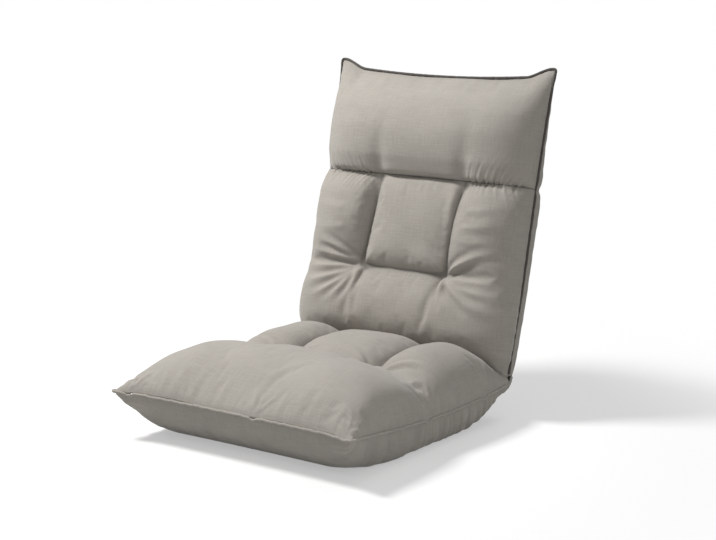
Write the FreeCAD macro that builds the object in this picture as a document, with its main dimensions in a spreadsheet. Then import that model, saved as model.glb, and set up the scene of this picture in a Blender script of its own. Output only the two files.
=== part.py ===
import FreeCAD, Part
import math
import os
import re

import Sketcher

# A folding floor chair without legs. A quilted seat and a quilted back with a head section hang
# together at two rows of click hinges, and steel tube frames lie inside the padding.
#
# Every section is drawn as if the chair lay unfolded on a bench: X runs across the chair, Y runs
# from the sitter's knees to the head, Z points out of the padded side, and Z 0 is the plane of
# the frame tubes. The seat and the back have Y 0 on the seat hinge, and the head section has Y 0
# on the head hinge. Each section's placement then folds it to the resting pose.

doc = FreeCAD.newDocument("folding_floor_chair")
sheet = doc.addObject("Spreadsheet::Sheet", "sizes")

CELLS = [
    # alias, millimetres or degrees, what it is
    ("seam_width", 520, "cushion width across the sewn edge, at its narrowest"),
    ("front_flare", 24, "how far the seat's front ears stand out past that edge"),
    ("top_flare", 4, "how far the head section's top ears stand out past that edge"),
    ("front_dip", 14, "how far the front edge is drawn in between its ears"),
    ("top_dip", 24, "how far the top edge sinks between its ears"),
    ("ear_width", 45, "width of an ear"),
    ("seat_length", 560, "seat hinge to the front ears"),
    ("seat_tufts", 254, "seat hinge to the row of tufts"),
    ("back_tufts", 186, "seat hinge to the back's row of tufts"),
    ("back_length", 381, "seat hinge to the head hinge"),
    ("head_length", 243, "head hinge to the top ears"),
    ("column_width", 206, "middle column of the quilting"),
    ("hinge_height", 85, "seat hinge above the floor"),
    ("seat_rise", 2.35, "slope of the seat, its front higher"),
    ("seam_drop", 17, "sewn edge behind the frame plane"),
    ("seam_sag", 18, "how far the seat's sewn edge sags between hinge and ears"),
    ("edge_height", 6, "thickness of the quilt at its sewn edge"),
    ("bolster_crown", 70, "top of the front bolster above the frame plane"),
    ("seat_crown", 70, "top of the seat's rear chambers"),
    ("seat_tuft_height", 42, "quilt height at the seat's tufts"),
    ("lumbar_crown", 66, "top of the back's lower chamber"),
    ("back_crown", 58, "top of the back's upper chambers"),
    ("back_tuft_height", 34, "quilt height at the back's tufts"),
    ("crease_height", 62, "quilt height where seat and back meet"),
    ("head_crown", 66, "top of the head chamber"),
    ("head_seam_height", 30, "quilt height at the head seam"),
    ("rear_depth", 48, "frame plane to the back's rear face"),
    ("head_rear_depth", 40, "frame plane to the rear face at the head seam"),
    ("hinge_end_depth", 37, "depth of the pads at the seat hinge"),
    ("flat_front", 440, "seat hinge to the front end of the flat underside"),
    ("flat_rear", 130, "seat hinge to the rear end of the flat underside"),
    ("flat_width", 464, "width of the flat underside"),
    ("grip_thickness", 1, "grip cloth under the seat"),
    ("core_width", 432, "foam cores across the chair"),
    ("core_top", 26, "top of the foam cores above the frame plane"),
    ("core_end", 70, "seat hinge to the bevelled end of each foam core"),
    ("core_front_gap", 70, "ears to the end of the seat and head cores"),
    ("core_bevel", 40, "length of the cores' bevels away from the seat hinge"),
    ("core_side_bevel", 30, "width of the bevels along the cores' sides"),
    ("core_edge", 12, "height of a core at the foot of those bevels"),
    ("bevel_gap", 1.5, "least gap between the folded cores, for each of them"),
    ("pad_gap", 0.3, "running gap round pockets"),
    ("end_gap", 0.6, "hinge plane to the end of each rear pad"),
    ("rest_angle", 100.8, "angle between seat and back at rest"),
    ("fold_angle", 20, "angle between seat and back when folded"),
    ("click_angle", 7.2, "one click of a hinge"),
    ("clicks", 14, "positions of a hinge"),
    ("head_clicks", 5, "clicks of the head section from rest to its forward limit"),
    ("tube_diameter", 16, "frame tube"),
    ("tube_wall", 1.2, "frame tube wall"),
    ("rail_spacing", 404, "distance between the side rails' centres"),
    ("bend_radius", 60, "centre line radius of the frame bends"),
    ("frame_front_gap", 62, "front ears to the seat frame's front tube"),
    ("frame_top_gap", 60, "top ears to the head frame's top tube"),
    ("tube_start", 66, "hinge to the end of each tube"),
    ("seat_cross_rear", 120, "seat hinge to the rear cross tube"),
    ("seat_cross_middle", 300, "seat hinge to the middle cross tube"),
    ("back_cross_low", 100, "seat hinge to the back's lower cross tube"),
    ("back_cross_gap", 112, "head hinge to the back's upper cross tube"),
    ("band_width", 42, "elastic band"),
    ("band_thickness", 1.2, "elastic band"),
    ("band_gap", 0.05, "elastic band off its tube"),
    ("case_plate", 2, "hinge case plate thickness"),
    ("gear_plate", 4, "toothed arm thickness"),
    ("plate_gap", 0.3, "gap between toothed arm and case plate"),
    ("case_radius", 20, "round end of a case plate"),
    ("case_above", 10, "case plate edge above the frame plane"),
    ("case_below", 19, "case plate edge below the frame plane"),
    ("case_length", 60, "hinge axis to the case plate's far end"),
    ("arm_width", 16, "toothed arm"),
    ("stub_wall_gap", 0.1, "stub in the tube, on the radius"),
    ("stub_end", 100, "hinge axis to the stub's far end"),
    ("tooth_tip", 18, "tooth tip radius"),
    ("tooth_root", 16.4, "tooth root radius"),
    ("free_sector_end", 122, "angle where the toothless sector of the gear ends"),
    ("pawl_tip_angle", 52, "pawl tip below the case arm, seen from the axis"),
    ("pawl_pivot_radius", 33, "hinge axis to the pawl's pivot"),
    ("pawl_pivot_angle", 15, "pawl pivot below the case arm, seen from the axis"),
    ("pawl_boss_radius", 4, "round end of the pawl"),
    ("pawl_tip_depth", 3.5, "height of the pawl's nose above the tooth tips"),
    ("pawl_gap", 0.6, "pawl tip off the tooth when it has dropped in"),
    ("pawl_lift", 6.5, "turn of the pawl from dropped to lifted"),
    ("pivot_radius", 4, "hinge pivot rivet"),
    ("pivot_head", 7.5, "hinge pivot rivet head radius"),
    ("case_rivet_radius", 2, "rivets that hold the case plates and the pawl"),
    ("case_rivet_head", 3.6, "their head radius"),
    ("case_rivet_place", 52, "hinge axis to the case rivet"),
    ("frame_rivet_radius", 2.4, "rivets through tube and stub"),
    ("frame_rivet_head", 4.5, "their head radius"),
    ("frame_rivet_place", 84, "hinge axis to the frame rivet"),
    ("rivet_head", 1.6, "rivet head thickness"),
    ("fit_gap", 0.05, "rivet in its hole, on the radius"),
    ("spring_thickness", 0.8, "pawl spring leaf"),
    ("piping_diameter", 4.6, "corded edge of back and head"),
    ("welt_diameter", 4.2, "corded edge of the seat"),
    ("piping_gap", 0.3, "cord off the cushion's edge"),
    ("fold_cloth_width", 500, "cloth over the seat hinge, across the chair"),
    ("fold_cloth", 6, "thickness of the cloth over the seat hinge"),
    ("zip_length", 400, "zip across the back's rear face"),
    ("zip_width", 26, "zip tape"),
    ("zip_tape", 1, "zip tape thickness"),
    ("zip_height", 66, "seat hinge to the zip"),
    ("zip_travel", 380, "travel of the zip slider"),
    ("slider_length", 12, "zip slider"),
    ("slider_width", 9, "zip slider"),
    ("slider_height", 3.5, "zip slider"),
    ("pull_length", 24, "pull tab of the slider"),
]


class Size:
    """A length or angle that knows its formula in sheet cells and its present value."""

    def __init__(self, formula, number):
        self.formula = formula
        self.number = number

    def joined(self, sign, other, number):
        text = other.formula if isinstance(other, Size) else repr(other)
        return Size(f"({self.formula} {sign} {text})", number)

    def __float__(self):
        return float(self.number)

    def __add__(self, other):
        return self.joined("+", other, float(self) + float(other))

    def __sub__(self, other):
        return self.joined("-", other, float(self) - float(other))

    def __mul__(self, other):
        return self.joined("*", other, float(self) * float(other))

    def __truediv__(self, other):
        return self.joined("/", other, float(self) / float(other))

    def __neg__(self):
        return self * -1


for row, (alias, value, note) in enumerate(CELLS, 1):
    sheet.set(f"A{row}", alias)
    sheet.set(f"B{row}", str(value))
    sheet.set(f"C{row}", note)
    sheet.setAlias(f"B{row}", alias)
doc.recompute()


def cell(alias):
    return Size(f"sizes.{alias}", float(sheet.get(alias)))


def number(alias):
    return float(sheet.get(alias))


V = FreeCAD.Vector
X_AXIS = V(1, 0, 0)
LEFT = -1
RIGHT = 1
SIDES = {"left": LEFT, "right": RIGHT}


# Where each section lies

hinge_y = (number("flat_front") + number("flat_rear")) / 2
rise = number("seat_rise")
back_turn = 180 - number("rest_angle")
seat_place = FreeCAD.Placement(
    V(0, hinge_y, number("hinge_height")), FreeCAD.Rotation(X_AXIS, -rise)
)
back_in_seat = FreeCAD.Placement(V(), FreeCAD.Rotation(X_AXIS, back_turn))
back_place = seat_place.multiply(back_in_seat)
head_in_back = FreeCAD.Placement(V(0, number("back_length"), 0), FreeCAD.Rotation())
head_place = back_place.multiply(head_in_back)

nodes = []


def finish(name, thing, place):
    """Names a finished sub-part and folds it to its place in the resting chair."""
    thing.Label = name
    thing.Placement = place.multiply(thing.Placement)
    nodes.append(thing)
    return thing


def bind(thing, name, size):
    """Ties one property to the sheet, or sets it if the size is a plain number."""
    if isinstance(size, Size):
        thing.setExpression(name, size.formula)
    else:
        setattr(thing, name, size)


def move(thing, x=None, y=None, z=None):
    for axis, size in (("x", x), ("y", y), ("z", z)):
        if size is not None:
            thing.setExpression(f"Placement.Base.{axis}", size.formula)


# Building blocks


def box(x0, x1, y0, y1, z0, z1):
    """A block between two corners."""
    thing = doc.addObject("Part::Box", "block")
    bind(thing, "Length", x1 - x0)
    bind(thing, "Width", y1 - y0)
    bind(thing, "Height", z1 - z0)
    move(thing, x0, y0, z0)
    return thing


def rod(radius, start, length, axis, x=None, y=None, z=None):
    """A cylinder along an axis, from start along it for length."""
    thing = doc.addObject("Part::Cylinder", "rod")
    bind(thing, "Radius", radius)
    bind(thing, "Height", length)
    turns = {"x": (V(0, 1, 0), 90), "y": (X_AXIS, -90), "z": (V(0, 0, 1), 0)}
    thing.Placement = FreeCAD.Placement(V(), FreeCAD.Rotation(*turns[axis]))
    places = {"x": x, "y": y, "z": z}
    places[axis] = start
    move(thing, **places)
    return thing


def fused(*things):
    made = doc.addObject("Part::MultiFuse", "fused")
    made.Shapes = list(things)
    return made


def cut(base, *tools):
    made = doc.addObject("Part::Cut", "cut")
    made.Base = base
    made.Tool = tools[0] if len(tools) == 1 else fused(*tools)
    return made


def group(*things):
    made = doc.addObject("Part::Compound", "group")
    made.Links = list(things)
    return made


def solid_feature(shape, name="shape"):
    made = doc.addObject("Part::Feature", name)
    made.Shape = shape
    return made


def rivet(radius, head_radius, head, start, length, y, z):
    """A rivet across the chair: a shank with a flat head on each end."""
    return fused(
        rod(radius, start - head, length + head * 2, "x", y=y, z=z),
        rod(head_radius, start - head, head, "x", y=y, z=z),
        rod(head_radius, start + length, head, "x", y=y, z=z),
    )


def rounded_route(points, radii):
    """A path of straight runs through points, with a tangent arc of the given radius at each
    inner point."""
    edges = []
    start = points[0]
    for before, corner, after, radius in zip(points, points[1:], points[2:], radii):
        inward = (before - corner).normalize()
        outward = (after - corner).normalize()
        half_turn = (math.pi - inward.getAngle(outward)) / 2
        reach = radius * math.tan(half_turn)
        bisector = (inward + outward).normalize()
        centre_distance = radius / math.cos(half_turn)
        first = corner + inward * reach
        last = corner + outward * reach
        middle = corner + bisector * (centre_distance - radius)
        edges.append(Part.LineSegment(start, first).toShape())
        edges.append(Part.Arc(first, middle, last).toShape())
        start = last
    edges.append(Part.LineSegment(start, points[-1]).toShape())
    return Part.Wire(edges)


def pipe(path, radius):
    """A round solid along a path."""
    first = path.Edges[0]
    ring = Part.Circle(first.valueAt(first.FirstParameter), first.tangentAt(first.FirstParameter), radius)
    return path.makePipeShell([Part.Wire([ring.toShape()])], True, False)


def bent_tube(points, radii):
    """A hollow frame tube along a rounded route."""
    path = rounded_route(points, radii)
    outer = pipe(path, number("tube_diameter") / 2)
    inner = pipe(path, number("tube_diameter") / 2 - number("tube_wall"))
    return outer.cut(inner)


# Click hinges. Both ends of the back use the same one: two case plates with an arm towards -Y,
# and between them a toothed plate whose arm points to +Y, held by a pivot rivet. A spring leaf
# pushes a pawl into the teeth.

inner_face = cell("gear_plate") / 2 + cell("plate_gap")
outer_face = inner_face + cell("case_plate")
axis_x = cell("rail_spacing") / 2
fit = cell("fit_gap")
zero = cell("tube_diameter") * 0


def on_side(side, size):
    return size if side == RIGHT else -size


def across(side, low, high):
    """The lower and upper X of something that lies from low to high off a hinge's centre,
    counted outwards."""
    if side == RIGHT:
        return axis_x + low, axis_x + high
    return -axis_x - high, -axis_x - low


def polar(radius, angle):
    """A point at a radius from the hinge, at an angle in degrees up from the case arm."""
    turn = math.radians(angle)
    return V(0, -radius * math.cos(turn), radius * math.sin(turn))


def sized_polar(radius, angle_alias):
    """The same for a fixed angle below the case arm, as sizes for Y and Z."""
    formula = f"cos(sizes.{angle_alias} * 1 deg)"
    turn = math.radians(number(angle_alias))
    y = Size(f"(-{radius.formula} * {formula})", -float(radius) * math.cos(turn))
    z = Size(
        f"(-{radius.formula} * sin(sizes.{angle_alias} * 1 deg))",
        -float(radius) * math.sin(turn),
    )
    return y, z


pawl_y, pawl_z = sized_polar(cell("pawl_pivot_radius"), "pawl_pivot_angle")


def in_frame(shift, y):
    """A Y size, moved to a hinge that lies further up its section."""
    return y if shift is None else shift + y


def case_plate(side, low, high, shift, with_stub):
    """One case plate. The outer one carries the stub that plugs into the frame tube."""
    x0, x1 = across(side, low, high)
    thickness = x1 - x0
    hinge = in_frame(shift, zero)
    length = cell("case_length")
    arm_end = in_frame(shift, -length)
    pieces = [
        rod(cell("case_radius"), x0, thickness, "x", y=hinge, z=zero),
        box(x0, x1, arm_end, hinge, -cell("case_below"), cell("case_above")),
    ]
    if with_stub:
        radius = cell("tube_diameter") / 2 - cell("tube_wall") - cell("stub_wall_gap")
        stub_start = in_frame(shift, -cell("stub_end"))
        reach = cell("stub_end") - length
        pieces.append(rod(radius, stub_start, reach, "y", x=on_side(side, axis_x), z=zero))
    holes = [
        rod(cell("pivot_radius") + fit, x0, thickness, "x", y=hinge, z=zero),
        rod(cell("case_rivet_radius") + fit, x0, thickness, "x", y=in_frame(shift, pawl_y), z=pawl_z),
        rod(
            cell("case_rivet_radius") + fit,
            x0,
            thickness,
            "x",
            y=in_frame(shift, -cell("case_rivet_place")),
            z=zero,
        ),
    ]
    if with_stub:
        holes.append(frame_rivet_hole(side, in_frame(shift, -cell("frame_rivet_place"))))
    return cut(fused(*pieces), *holes)


def frame_rivet_hole(side, y):
    width = cell("tube_diameter") + cell("rivet_head") * 2
    start = on_side(side, axis_x) - width / 2
    return rod(cell("frame_rivet_radius") + fit, start, width, "x", y=y, z=zero)


def frame_rivet(side, y):
    start = on_side(side, axis_x) - cell("tube_diameter") / 2
    return rivet(
        cell("frame_rivet_radius"),
        cell("frame_rivet_head"),
        cell("rivet_head"),
        start,
        cell("tube_diameter"),
        y,
        zero,
    )


def toothed_outline():
    """The toothed plate seen along X: ratchet teeth, a toothless sector at the root radius where
    the chair folds freely, and a plain round rest."""
    tip = number("tooth_tip")
    root = number("tooth_root")
    step = number("click_angle")
    first = -number("pawl_tip_angle")
    last = first + step * (number("clicks") - 1)
    free_end = number("free_sector_end")
    edges = []
    for click in range(int(number("clicks")) - 1):
        angle = first + step * click
        edges.append(Part.LineSegment(polar(tip, angle), polar(root, angle)).toShape())
        edges.append(Part.LineSegment(polar(root, angle), polar(tip, angle + step)).toShape())
    edges.append(Part.LineSegment(polar(tip, last), polar(root, last)).toShape())
    middle = (last + free_end) / 2
    edges.append(Part.Arc(polar(root, last), polar(root, middle), polar(root, free_end)).toShape())
    edges.append(Part.LineSegment(polar(root, free_end), polar(tip, free_end)).toShape())
    far = (free_end + first + 360) / 2
    edges.append(Part.Arc(polar(tip, free_end), polar(tip, far), polar(tip, first)).toShape())
    return Part.Wire(edges)


def gear_arm(side):
    """The toothed plate with its arm and the stub for the next frame's tube."""
    x0, x1 = across(side, -cell("gear_plate") / 2, cell("gear_plate") / 2)
    disc = Part.Face(toothed_outline()).extrude(V(number("gear_plate"), 0, 0))
    plate = solid_feature(disc)
    move(plate, x=x0)
    reach = cell("case_length")
    radius = cell("tube_diameter") / 2 - cell("tube_wall") - cell("stub_wall_gap")
    stub = rod(radius, reach, cell("stub_end") - reach, "y", x=on_side(side, axis_x), z=zero)
    arm = box(x0, x1, zero, reach, -cell("arm_width") / 2, cell("arm_width") / 2)
    bore = rod(cell("pivot_radius") + fit, x0, x1 - x0, "x", y=zero, z=zero)
    hole = frame_rivet_hole(side, cell("frame_rivet_place"))
    return cut(fused(plate, arm, stub), bore, hole)


def pawl_points():
    """The pawl's outline in its lifted place. It is drawn dropped into the tooth, starting at the
    tip and going round by the side away from the gear, and is then turned about its pivot."""
    gap = number("pawl_gap")
    root = number("tooth_root") + gap
    tip = number("tooth_tip")
    face = -number("pawl_tip_angle") + math.degrees(gap / root)
    step = number("click_angle")
    boss = number("pawl_boss_radius")
    pivot = pawl_pivot()
    along = (polar(root, face) - pivot).normalize()
    outward = V(0, along.z, -along.y)
    points = [
        polar(root, face),
        polar(tip + number("pawl_tip_depth"), face),
        pivot + outward * boss,
        pivot - outward * boss,
        polar(tip + boss / 2, face + step * 2),
        polar(tip + gap, face + step),
    ]
    lift = FreeCAD.Placement(V(), FreeCAD.Rotation(X_AXIS, -number("pawl_lift")), pivot)
    return [lift.multVec(point) for point in points]


def pawl_pivot():
    return polar(number("pawl_pivot_radius"), -number("pawl_pivot_angle"))


def flat_part(side, points):
    """A solid as thick as the toothed arm, in its plane, from an outline in the Y-Z plane."""
    x0, x1 = across(side, -cell("gear_plate") / 2, cell("gear_plate") / 2)
    start = V(float(x0), 0, 0)
    placed = [point + start for point in points]
    return Part.Face(Part.makePolygon(placed + placed[:1])).extrude(V(float(x1 - x0), 0, 0))


def pawl_solid(side):
    """The pawl: a blade with a round boss on its pivot rivet."""
    x0, x1 = across(side, -cell("gear_plate") / 2, cell("gear_plate") / 2)
    width = float(x1 - x0)
    pivot = pawl_pivot() + V(float(x0), 0, 0)
    boss = Part.makeCylinder(number("pawl_boss_radius"), width, pivot, X_AXIS)
    hole_radius = number("case_rivet_radius") + number("fit_gap")
    hole = Part.makeCylinder(hole_radius, width, pivot, X_AXIS)
    return flat_part(side, pawl_points()).fuse(boss).cut(hole)


def pawl_spring(side):
    """A spring leaf from the case rivet to the far side of the pawl."""
    thickness = number("spring_thickness")
    clear = V(0, 0, -number("plate_gap"))
    _, nose, shoulder, *_ = pawl_points()
    rivet_under = -number("case_rivet_radius") - number("fit_gap")
    anchor = -number("case_rivet_place")
    blade = nose - shoulder
    route = [
        V(0, anchor - thickness, rivet_under),
        V(0, anchor + thickness, rivet_under),
        shoulder - blade * 0.25 + clear,
        shoulder + blade * 0.55 + clear,
    ]
    drop = V(0, 0, -thickness)
    return flat_part(side, route + [point + drop for point in reversed(route)])


def click_hinges(prefix, case_place, gear_place, shift, base):
    """The left and right hinge of one joint. shift is the hinge's place along the section that
    carries the cases, and base is the same as a placement."""
    for name, side in SIDES.items():
        outer = case_plate(side, inner_face, outer_face, shift, True)
        finish(f"{prefix}_hinge_outer_plate_{name}", outer, case_place)
        inner = case_plate(side, -outer_face, -inner_face, shift, False)
        finish(f"{prefix}_hinge_inner_plate_{name}", inner, case_place)
        finish(f"{prefix}_toothed_arm_{name}", gear_arm(side), gear_place)
        local = case_place.multiply(base)
        finish(f"{prefix}_pawl_{name}", solid_feature(pawl_solid(side)), local)
        finish(f"{prefix}_pawl_spring_{name}", solid_feature(pawl_spring(side)), local)
    pivots = []
    small = []
    for side in SIDES.values():
        x0, x1 = across(side, -outer_face, outer_face)
        hinge = in_frame(shift, zero)
        head = cell("rivet_head")
        pivots.append(rivet(cell("pivot_radius"), cell("pivot_head"), head, x0, x1 - x0, hinge, zero))
        for y, z in ((pawl_y, pawl_z), (-cell("case_rivet_place"), zero)):
            place = in_frame(shift, y)
            radius = cell("case_rivet_radius")
            small.append(rivet(radius, cell("case_rivet_head"), head, x0, x1 - x0, place, z))
    finish(f"{prefix}_pivot_rivets", group(*pivots), case_place)
    finish(f"{prefix}_case_rivets", group(*small), case_place)


no_shift = FreeCAD.Placement()
click_hinges("seat", seat_place, back_place, None, no_shift)
click_hinges("head", back_place, head_place, cell("back_length"), head_in_back)


# Frames

rail_x = number("rail_spacing") / 2
bend = number("bend_radius")


def u_frame(reach, direction):
    """A tube bent to a U: a rail each side from the hinge, and a tube across at the far end."""
    start = number("tube_start") * direction
    far = reach * direction
    corners = [V(-rail_x, start, 0), V(-rail_x, far, 0), V(rail_x, far, 0), V(rail_x, start, 0)]
    made = bent_tube(corners, [bend, bend])
    place = number("frame_rivet_place") * direction
    width = number("tube_diameter") * 2
    for side in SIDES.values():
        hole = Part.makeCylinder(
            number("frame_rivet_radius") + number("fit_gap"),
            width,
            V(rail_x * side - width / 2, place, 0),
            X_AXIS,
        )
        made = made.cut(hole)
    return made


seat_reach = number("seat_length") - number("frame_front_gap")
head_reach = number("head_length") - number("frame_top_gap")
finish("seat_frame_tube", solid_feature(u_frame(seat_reach, -1)), seat_place)
finish("head_frame_tube", solid_feature(u_frame(head_reach, 1)), head_place)

tube_radius = cell("tube_diameter") / 2
bore_radius = tube_radius - cell("tube_wall")


def back_rail(side):
    """A straight side tube of the back, open at both ends for the hinge stubs."""
    start = cell("tube_start")
    length = cell("back_length") - start * 2
    x = on_side(side, axis_x)
    return cut(
        rod(tube_radius, start, length, "y", x=x, z=zero),
        rod(bore_radius, start, length, "y", x=x, z=zero),
        frame_rivet_hole(side, cell("frame_rivet_place")),
        frame_rivet_hole(side, cell("back_length") - cell("frame_rivet_place")),
    )


def cross_tube(y):
    """A tube between the side rails, its ends notched to fit round them."""
    span = axis_x * 2
    rails = [
        rod(tube_radius, y - tube_radius * 2, tube_radius * 4, "y", x=on_side(side, axis_x), z=zero)
        for side in SIDES.values()
    ]
    return cut(
        rod(tube_radius, -axis_x, span, "x", y=y, z=zero),
        rod(bore_radius, -axis_x, span, "x", y=y, z=zero),
        *rails,
    )


for name, side in SIDES.items():
    finish(f"back_side_rail_{name}", back_rail(side), back_place)
finish("seat_rear_cross_tube", cross_tube(-cell("seat_cross_rear")), seat_place)
finish("seat_middle_cross_tube", cross_tube(-cell("seat_cross_middle")), seat_place)
finish("back_lower_cross_tube", cross_tube(cell("back_cross_low")), back_place)
back_cross_high = cell("back_length") - cell("back_cross_gap")
finish("back_upper_cross_tube", cross_tube(back_cross_high), back_place)


def both_sides(y):
    return [frame_rivet(side, y) for side in SIDES.values()]


rivet_place = cell("frame_rivet_place")
finish("seat_frame_rivets", group(*both_sides(-rivet_place)), seat_place)
lower_and_upper = both_sides(rivet_place) + both_sides(cell("back_length") - rivet_place)
finish("back_frame_rivets", group(*lower_and_upper), back_place)
finish("head_frame_rivets", group(*both_sides(rivet_place)), head_place)


def loop_face(radius, y):
    """The area inside a band loop round both rails."""
    top = V(0, 0, radius)
    left = V(-rail_x, y, 0)
    right = V(rail_x, y, 0)
    outline = [
        Part.LineSegment(left + top, right + top).toShape(),
        Part.Arc(right + top, right + V(radius, 0, 0), right - top).toShape(),
        Part.LineSegment(right - top, left - top).toShape(),
        Part.Arc(left - top, left - V(radius, 0, 0), left + top).toShape(),
    ]
    return Part.Face(Part.Wire(outline))


def bands(places):
    """Elastic bands looped round both rails, which carry the foam."""
    inner = number("tube_diameter") / 2 + number("band_gap")
    outer = inner + number("band_thickness")
    width = number("band_width")
    made = []
    for place in places:
        start = place - width / 2
        ring = loop_face(outer, start).extrude(V(0, width, 0))
        made.append(ring.cut(loop_face(inner, start).extrude(V(0, width, 0))))
    return Part.Compound(made)


def between(low, high, count):
    """Places that divide a stretch evenly, its ends left out."""
    return [low + (high - low) * (step + 1) / (count + 1) for step in range(count)]


SEAT_BANDS = 4
BACK_BANDS = 3
seat_band_end = -(seat_reach - bend)
seat_band_places = between(seat_band_end, -number("frame_rivet_place"), SEAT_BANDS)
finish("seat_elastic_bands", solid_feature(bands(seat_band_places)), seat_place)
back_band_places = between(
    number("frame_rivet_place"), number("back_length") - number("frame_rivet_place"), BACK_BANDS
)
finish("back_elastic_bands", solid_feature(bands(back_band_places)), back_place)


# Foam cores: slabs on the frame, bevelled at the hinges so that the sections can fold

gap = number("pad_gap")
end = number("end_gap")
seam = -number("seam_drop")
core_half = number("core_width") / 2
core_top = number("core_top")
core_edge = number("core_edge")
core_bevel = number("core_bevel")
frame_layer = number("tube_diameter") / 2 + number("band_gap") + number("band_thickness")
core_bottom = frame_layer + gap
fold_half = math.radians(number("fold_angle") / 2)
head_half = math.radians(number("head_clicks") * number("click_angle") / 2)


def fold_line(z):
    """How far from the seat hinge a core may reach at a height, so that the folded cores clear."""
    return (z + number("bevel_gap")) / math.tan(fold_half)


core_near = max(number("core_end"), fold_line(core_bottom))
near_height = core_near * math.tan(fold_half) - number("bevel_gap")
core_full = fold_line(core_top)
head_gap = core_edge * math.tan(head_half) + number("bevel_gap")
seat_core_front = -(number("seat_length") - number("core_front_gap"))
back_core_end = number("back_length") - head_gap
head_core_end = number("head_length") - number("core_front_gap")


def slab(half, outline, clear=0):
    """A slab across the chair with an outline in the Y-Z plane and bevelled sides."""
    points = [V(-half, y, z) for y, z in outline]
    whole = Part.Face(Part.makePolygon(points + points[:1])).extrude(V(half * 2, 0, 0))
    low = min(y for y, _ in outline)
    length = max(y for y, _ in outline) - low
    bottom = min(z for _, z in outline)
    top = core_top + clear
    inner = half - number("core_side_bevel")
    across_points = [
        V(-half, low, bottom),
        V(half, low, bottom),
        V(half, low, core_edge + clear),
        V(inner, low, top),
        V(-inner, low, top),
        V(-half, low, core_edge + clear),
    ]
    section = Part.Face(Part.makePolygon(across_points + across_points[:1]))
    return whole.common(section.extrude(V(0, length, 0)))


def seat_core_outline(clear, bottom):
    """The seat core from the side, or the space for it if clear is given."""
    return [
        (seat_core_front - clear, bottom),
        (-core_near + clear, bottom),
        (-core_near + clear, near_height + clear),
        (-core_full, core_top + clear),
        (seat_core_front + core_bevel, core_top + clear),
        (seat_core_front - clear, core_edge + clear),
    ]


def back_core_outline(clear, bottom):
    return [
        (core_near - clear, bottom),
        (back_core_end + clear, bottom),
        (back_core_end + clear, core_edge + clear),
        (back_core_end - core_bevel, core_top + clear),
        (core_full, core_top + clear),
        (core_near - clear, near_height + clear),
    ]


def head_core_outline(clear, bottom):
    return [
        (head_gap - clear, bottom),
        (head_core_end + clear, bottom),
        (head_core_end + clear, core_edge + clear),
        (head_core_end - core_bevel, core_top + clear),
        (head_gap + core_bevel, core_top + clear),
        (head_gap - clear, core_edge + clear),
    ]


def frame_pocket(y0, y1):
    """The space for the frame tubes inside a quilt."""
    half = core_half + gap
    bottom = seam - number("seam_sag") - end
    return Part.makeBox(half * 2, y1 - y0, core_bottom - bottom, V(-half, y0, bottom))


def core_pocket(outline, y0, y1):
    """The space for frame and core inside a quilt. The frame reaches from y0 to y1."""
    bottom = seam - number("seam_sag") - end
    return slab(core_half + gap, outline(gap, bottom), gap).fuse(frame_pocket(y0, y1))


def hinge_pocket(y, reach_low, reach_high):
    """Room for the hinges at y: round the pivot, and along the case or the toothed arm."""
    radius = number("case_radius") + gap
    clear = float(outer_face) + number("rivet_head") + gap
    height = number("case_below") + gap
    made = []
    for side in SIDES.values():
        start = rail_x * side - clear
        made.append(Part.makeCylinder(radius, clear * 2, V(start, y, 0), X_AXIS))
        arm = Part.makeBox(clear * 2, reach_high - reach_low, height * 2, V(start, reach_low, -height))
        made.append(arm)
    return Part.Compound(made)


def tube_pocket(y0, y1):
    """Room for the side tubes and their rivet heads where no core lies."""
    radius = frame_layer + gap
    made = []
    for side in SIDES.values():
        corner = V(rail_x * side - radius, y0, -radius)
        made.append(Part.makeBox(radius * 2, y1 - y0, radius * 2, corner))
    return Part.Compound(made)


case_reach = number("case_length")
back_end = number("back_length")
head_hinge_pocket = hinge_pocket(back_end, back_end - case_reach, back_end + case_reach)
top_hinge_pocket = hinge_pocket(0, -case_reach, case_reach)
seat_frame_end = -(seat_reach + core_bottom)
head_frame_end = head_reach + core_bottom
seat_core = slab(core_half, seat_core_outline(0, core_bottom))
back_core = slab(core_half, back_core_outline(0, core_bottom)).cut(head_hinge_pocket)
head_core = slab(core_half, head_core_outline(0, core_bottom)).cut(top_hinge_pocket)
finish("seat_foam_core", solid_feature(seat_core), seat_place)
finish("back_foam_core", solid_feature(back_core), back_place)
finish("head_foam_core", solid_feature(head_core), head_place)


# Plan outlines of the cushions: drawn-in edges that run out into ears

half_seam = number("seam_width") / 2
ear = number("ear_width")


def smooth(*points):
    """A smooth curve through points."""
    curve = Part.BSplineCurve()
    curve.interpolate(list(points))
    return curve


def side_curve(y_open, y_ear, flare):
    """The right edge of a section that ends in an ear."""
    reach = y_ear - y_open
    return smooth(
        V(half_seam, y_open, 0),
        V(half_seam + flare * 0.02, y_open + reach * 0.4, 0),
        V(half_seam + flare * 0.28, y_open + reach * 0.75, 0),
        V(half_seam + flare, y_ear, 0),
    )


def end_curve(y_ear, flare, dip):
    """The edge between two ears, which is drawn in by dip."""
    tip = half_seam + flare
    inward = -dip if y_ear > 0 else dip
    return smooth(
        V(tip, y_ear, 0),
        V(tip - ear, y_ear + inward * 0.62, 0),
        V(0, y_ear + inward, 0),
        V(ear - tip, y_ear + inward * 0.62, 0),
        V(-tip, y_ear, 0),
    )


seat_open = ear
seat_front = -number("seat_length")
head_end = number("head_length")
seat_side = side_curve(seat_open, seat_front, number("front_flare"))
seat_end = end_curve(seat_front, number("front_flare"), number("front_dip"))
head_side = side_curve(0, head_end, number("top_flare"))
head_top = end_curve(head_end, number("top_flare"), number("top_dip"))
back_side = smooth(V(half_seam, -ear, 0), V(half_seam, back_end / 2, 0), V(half_seam, back_end, 0))


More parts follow.
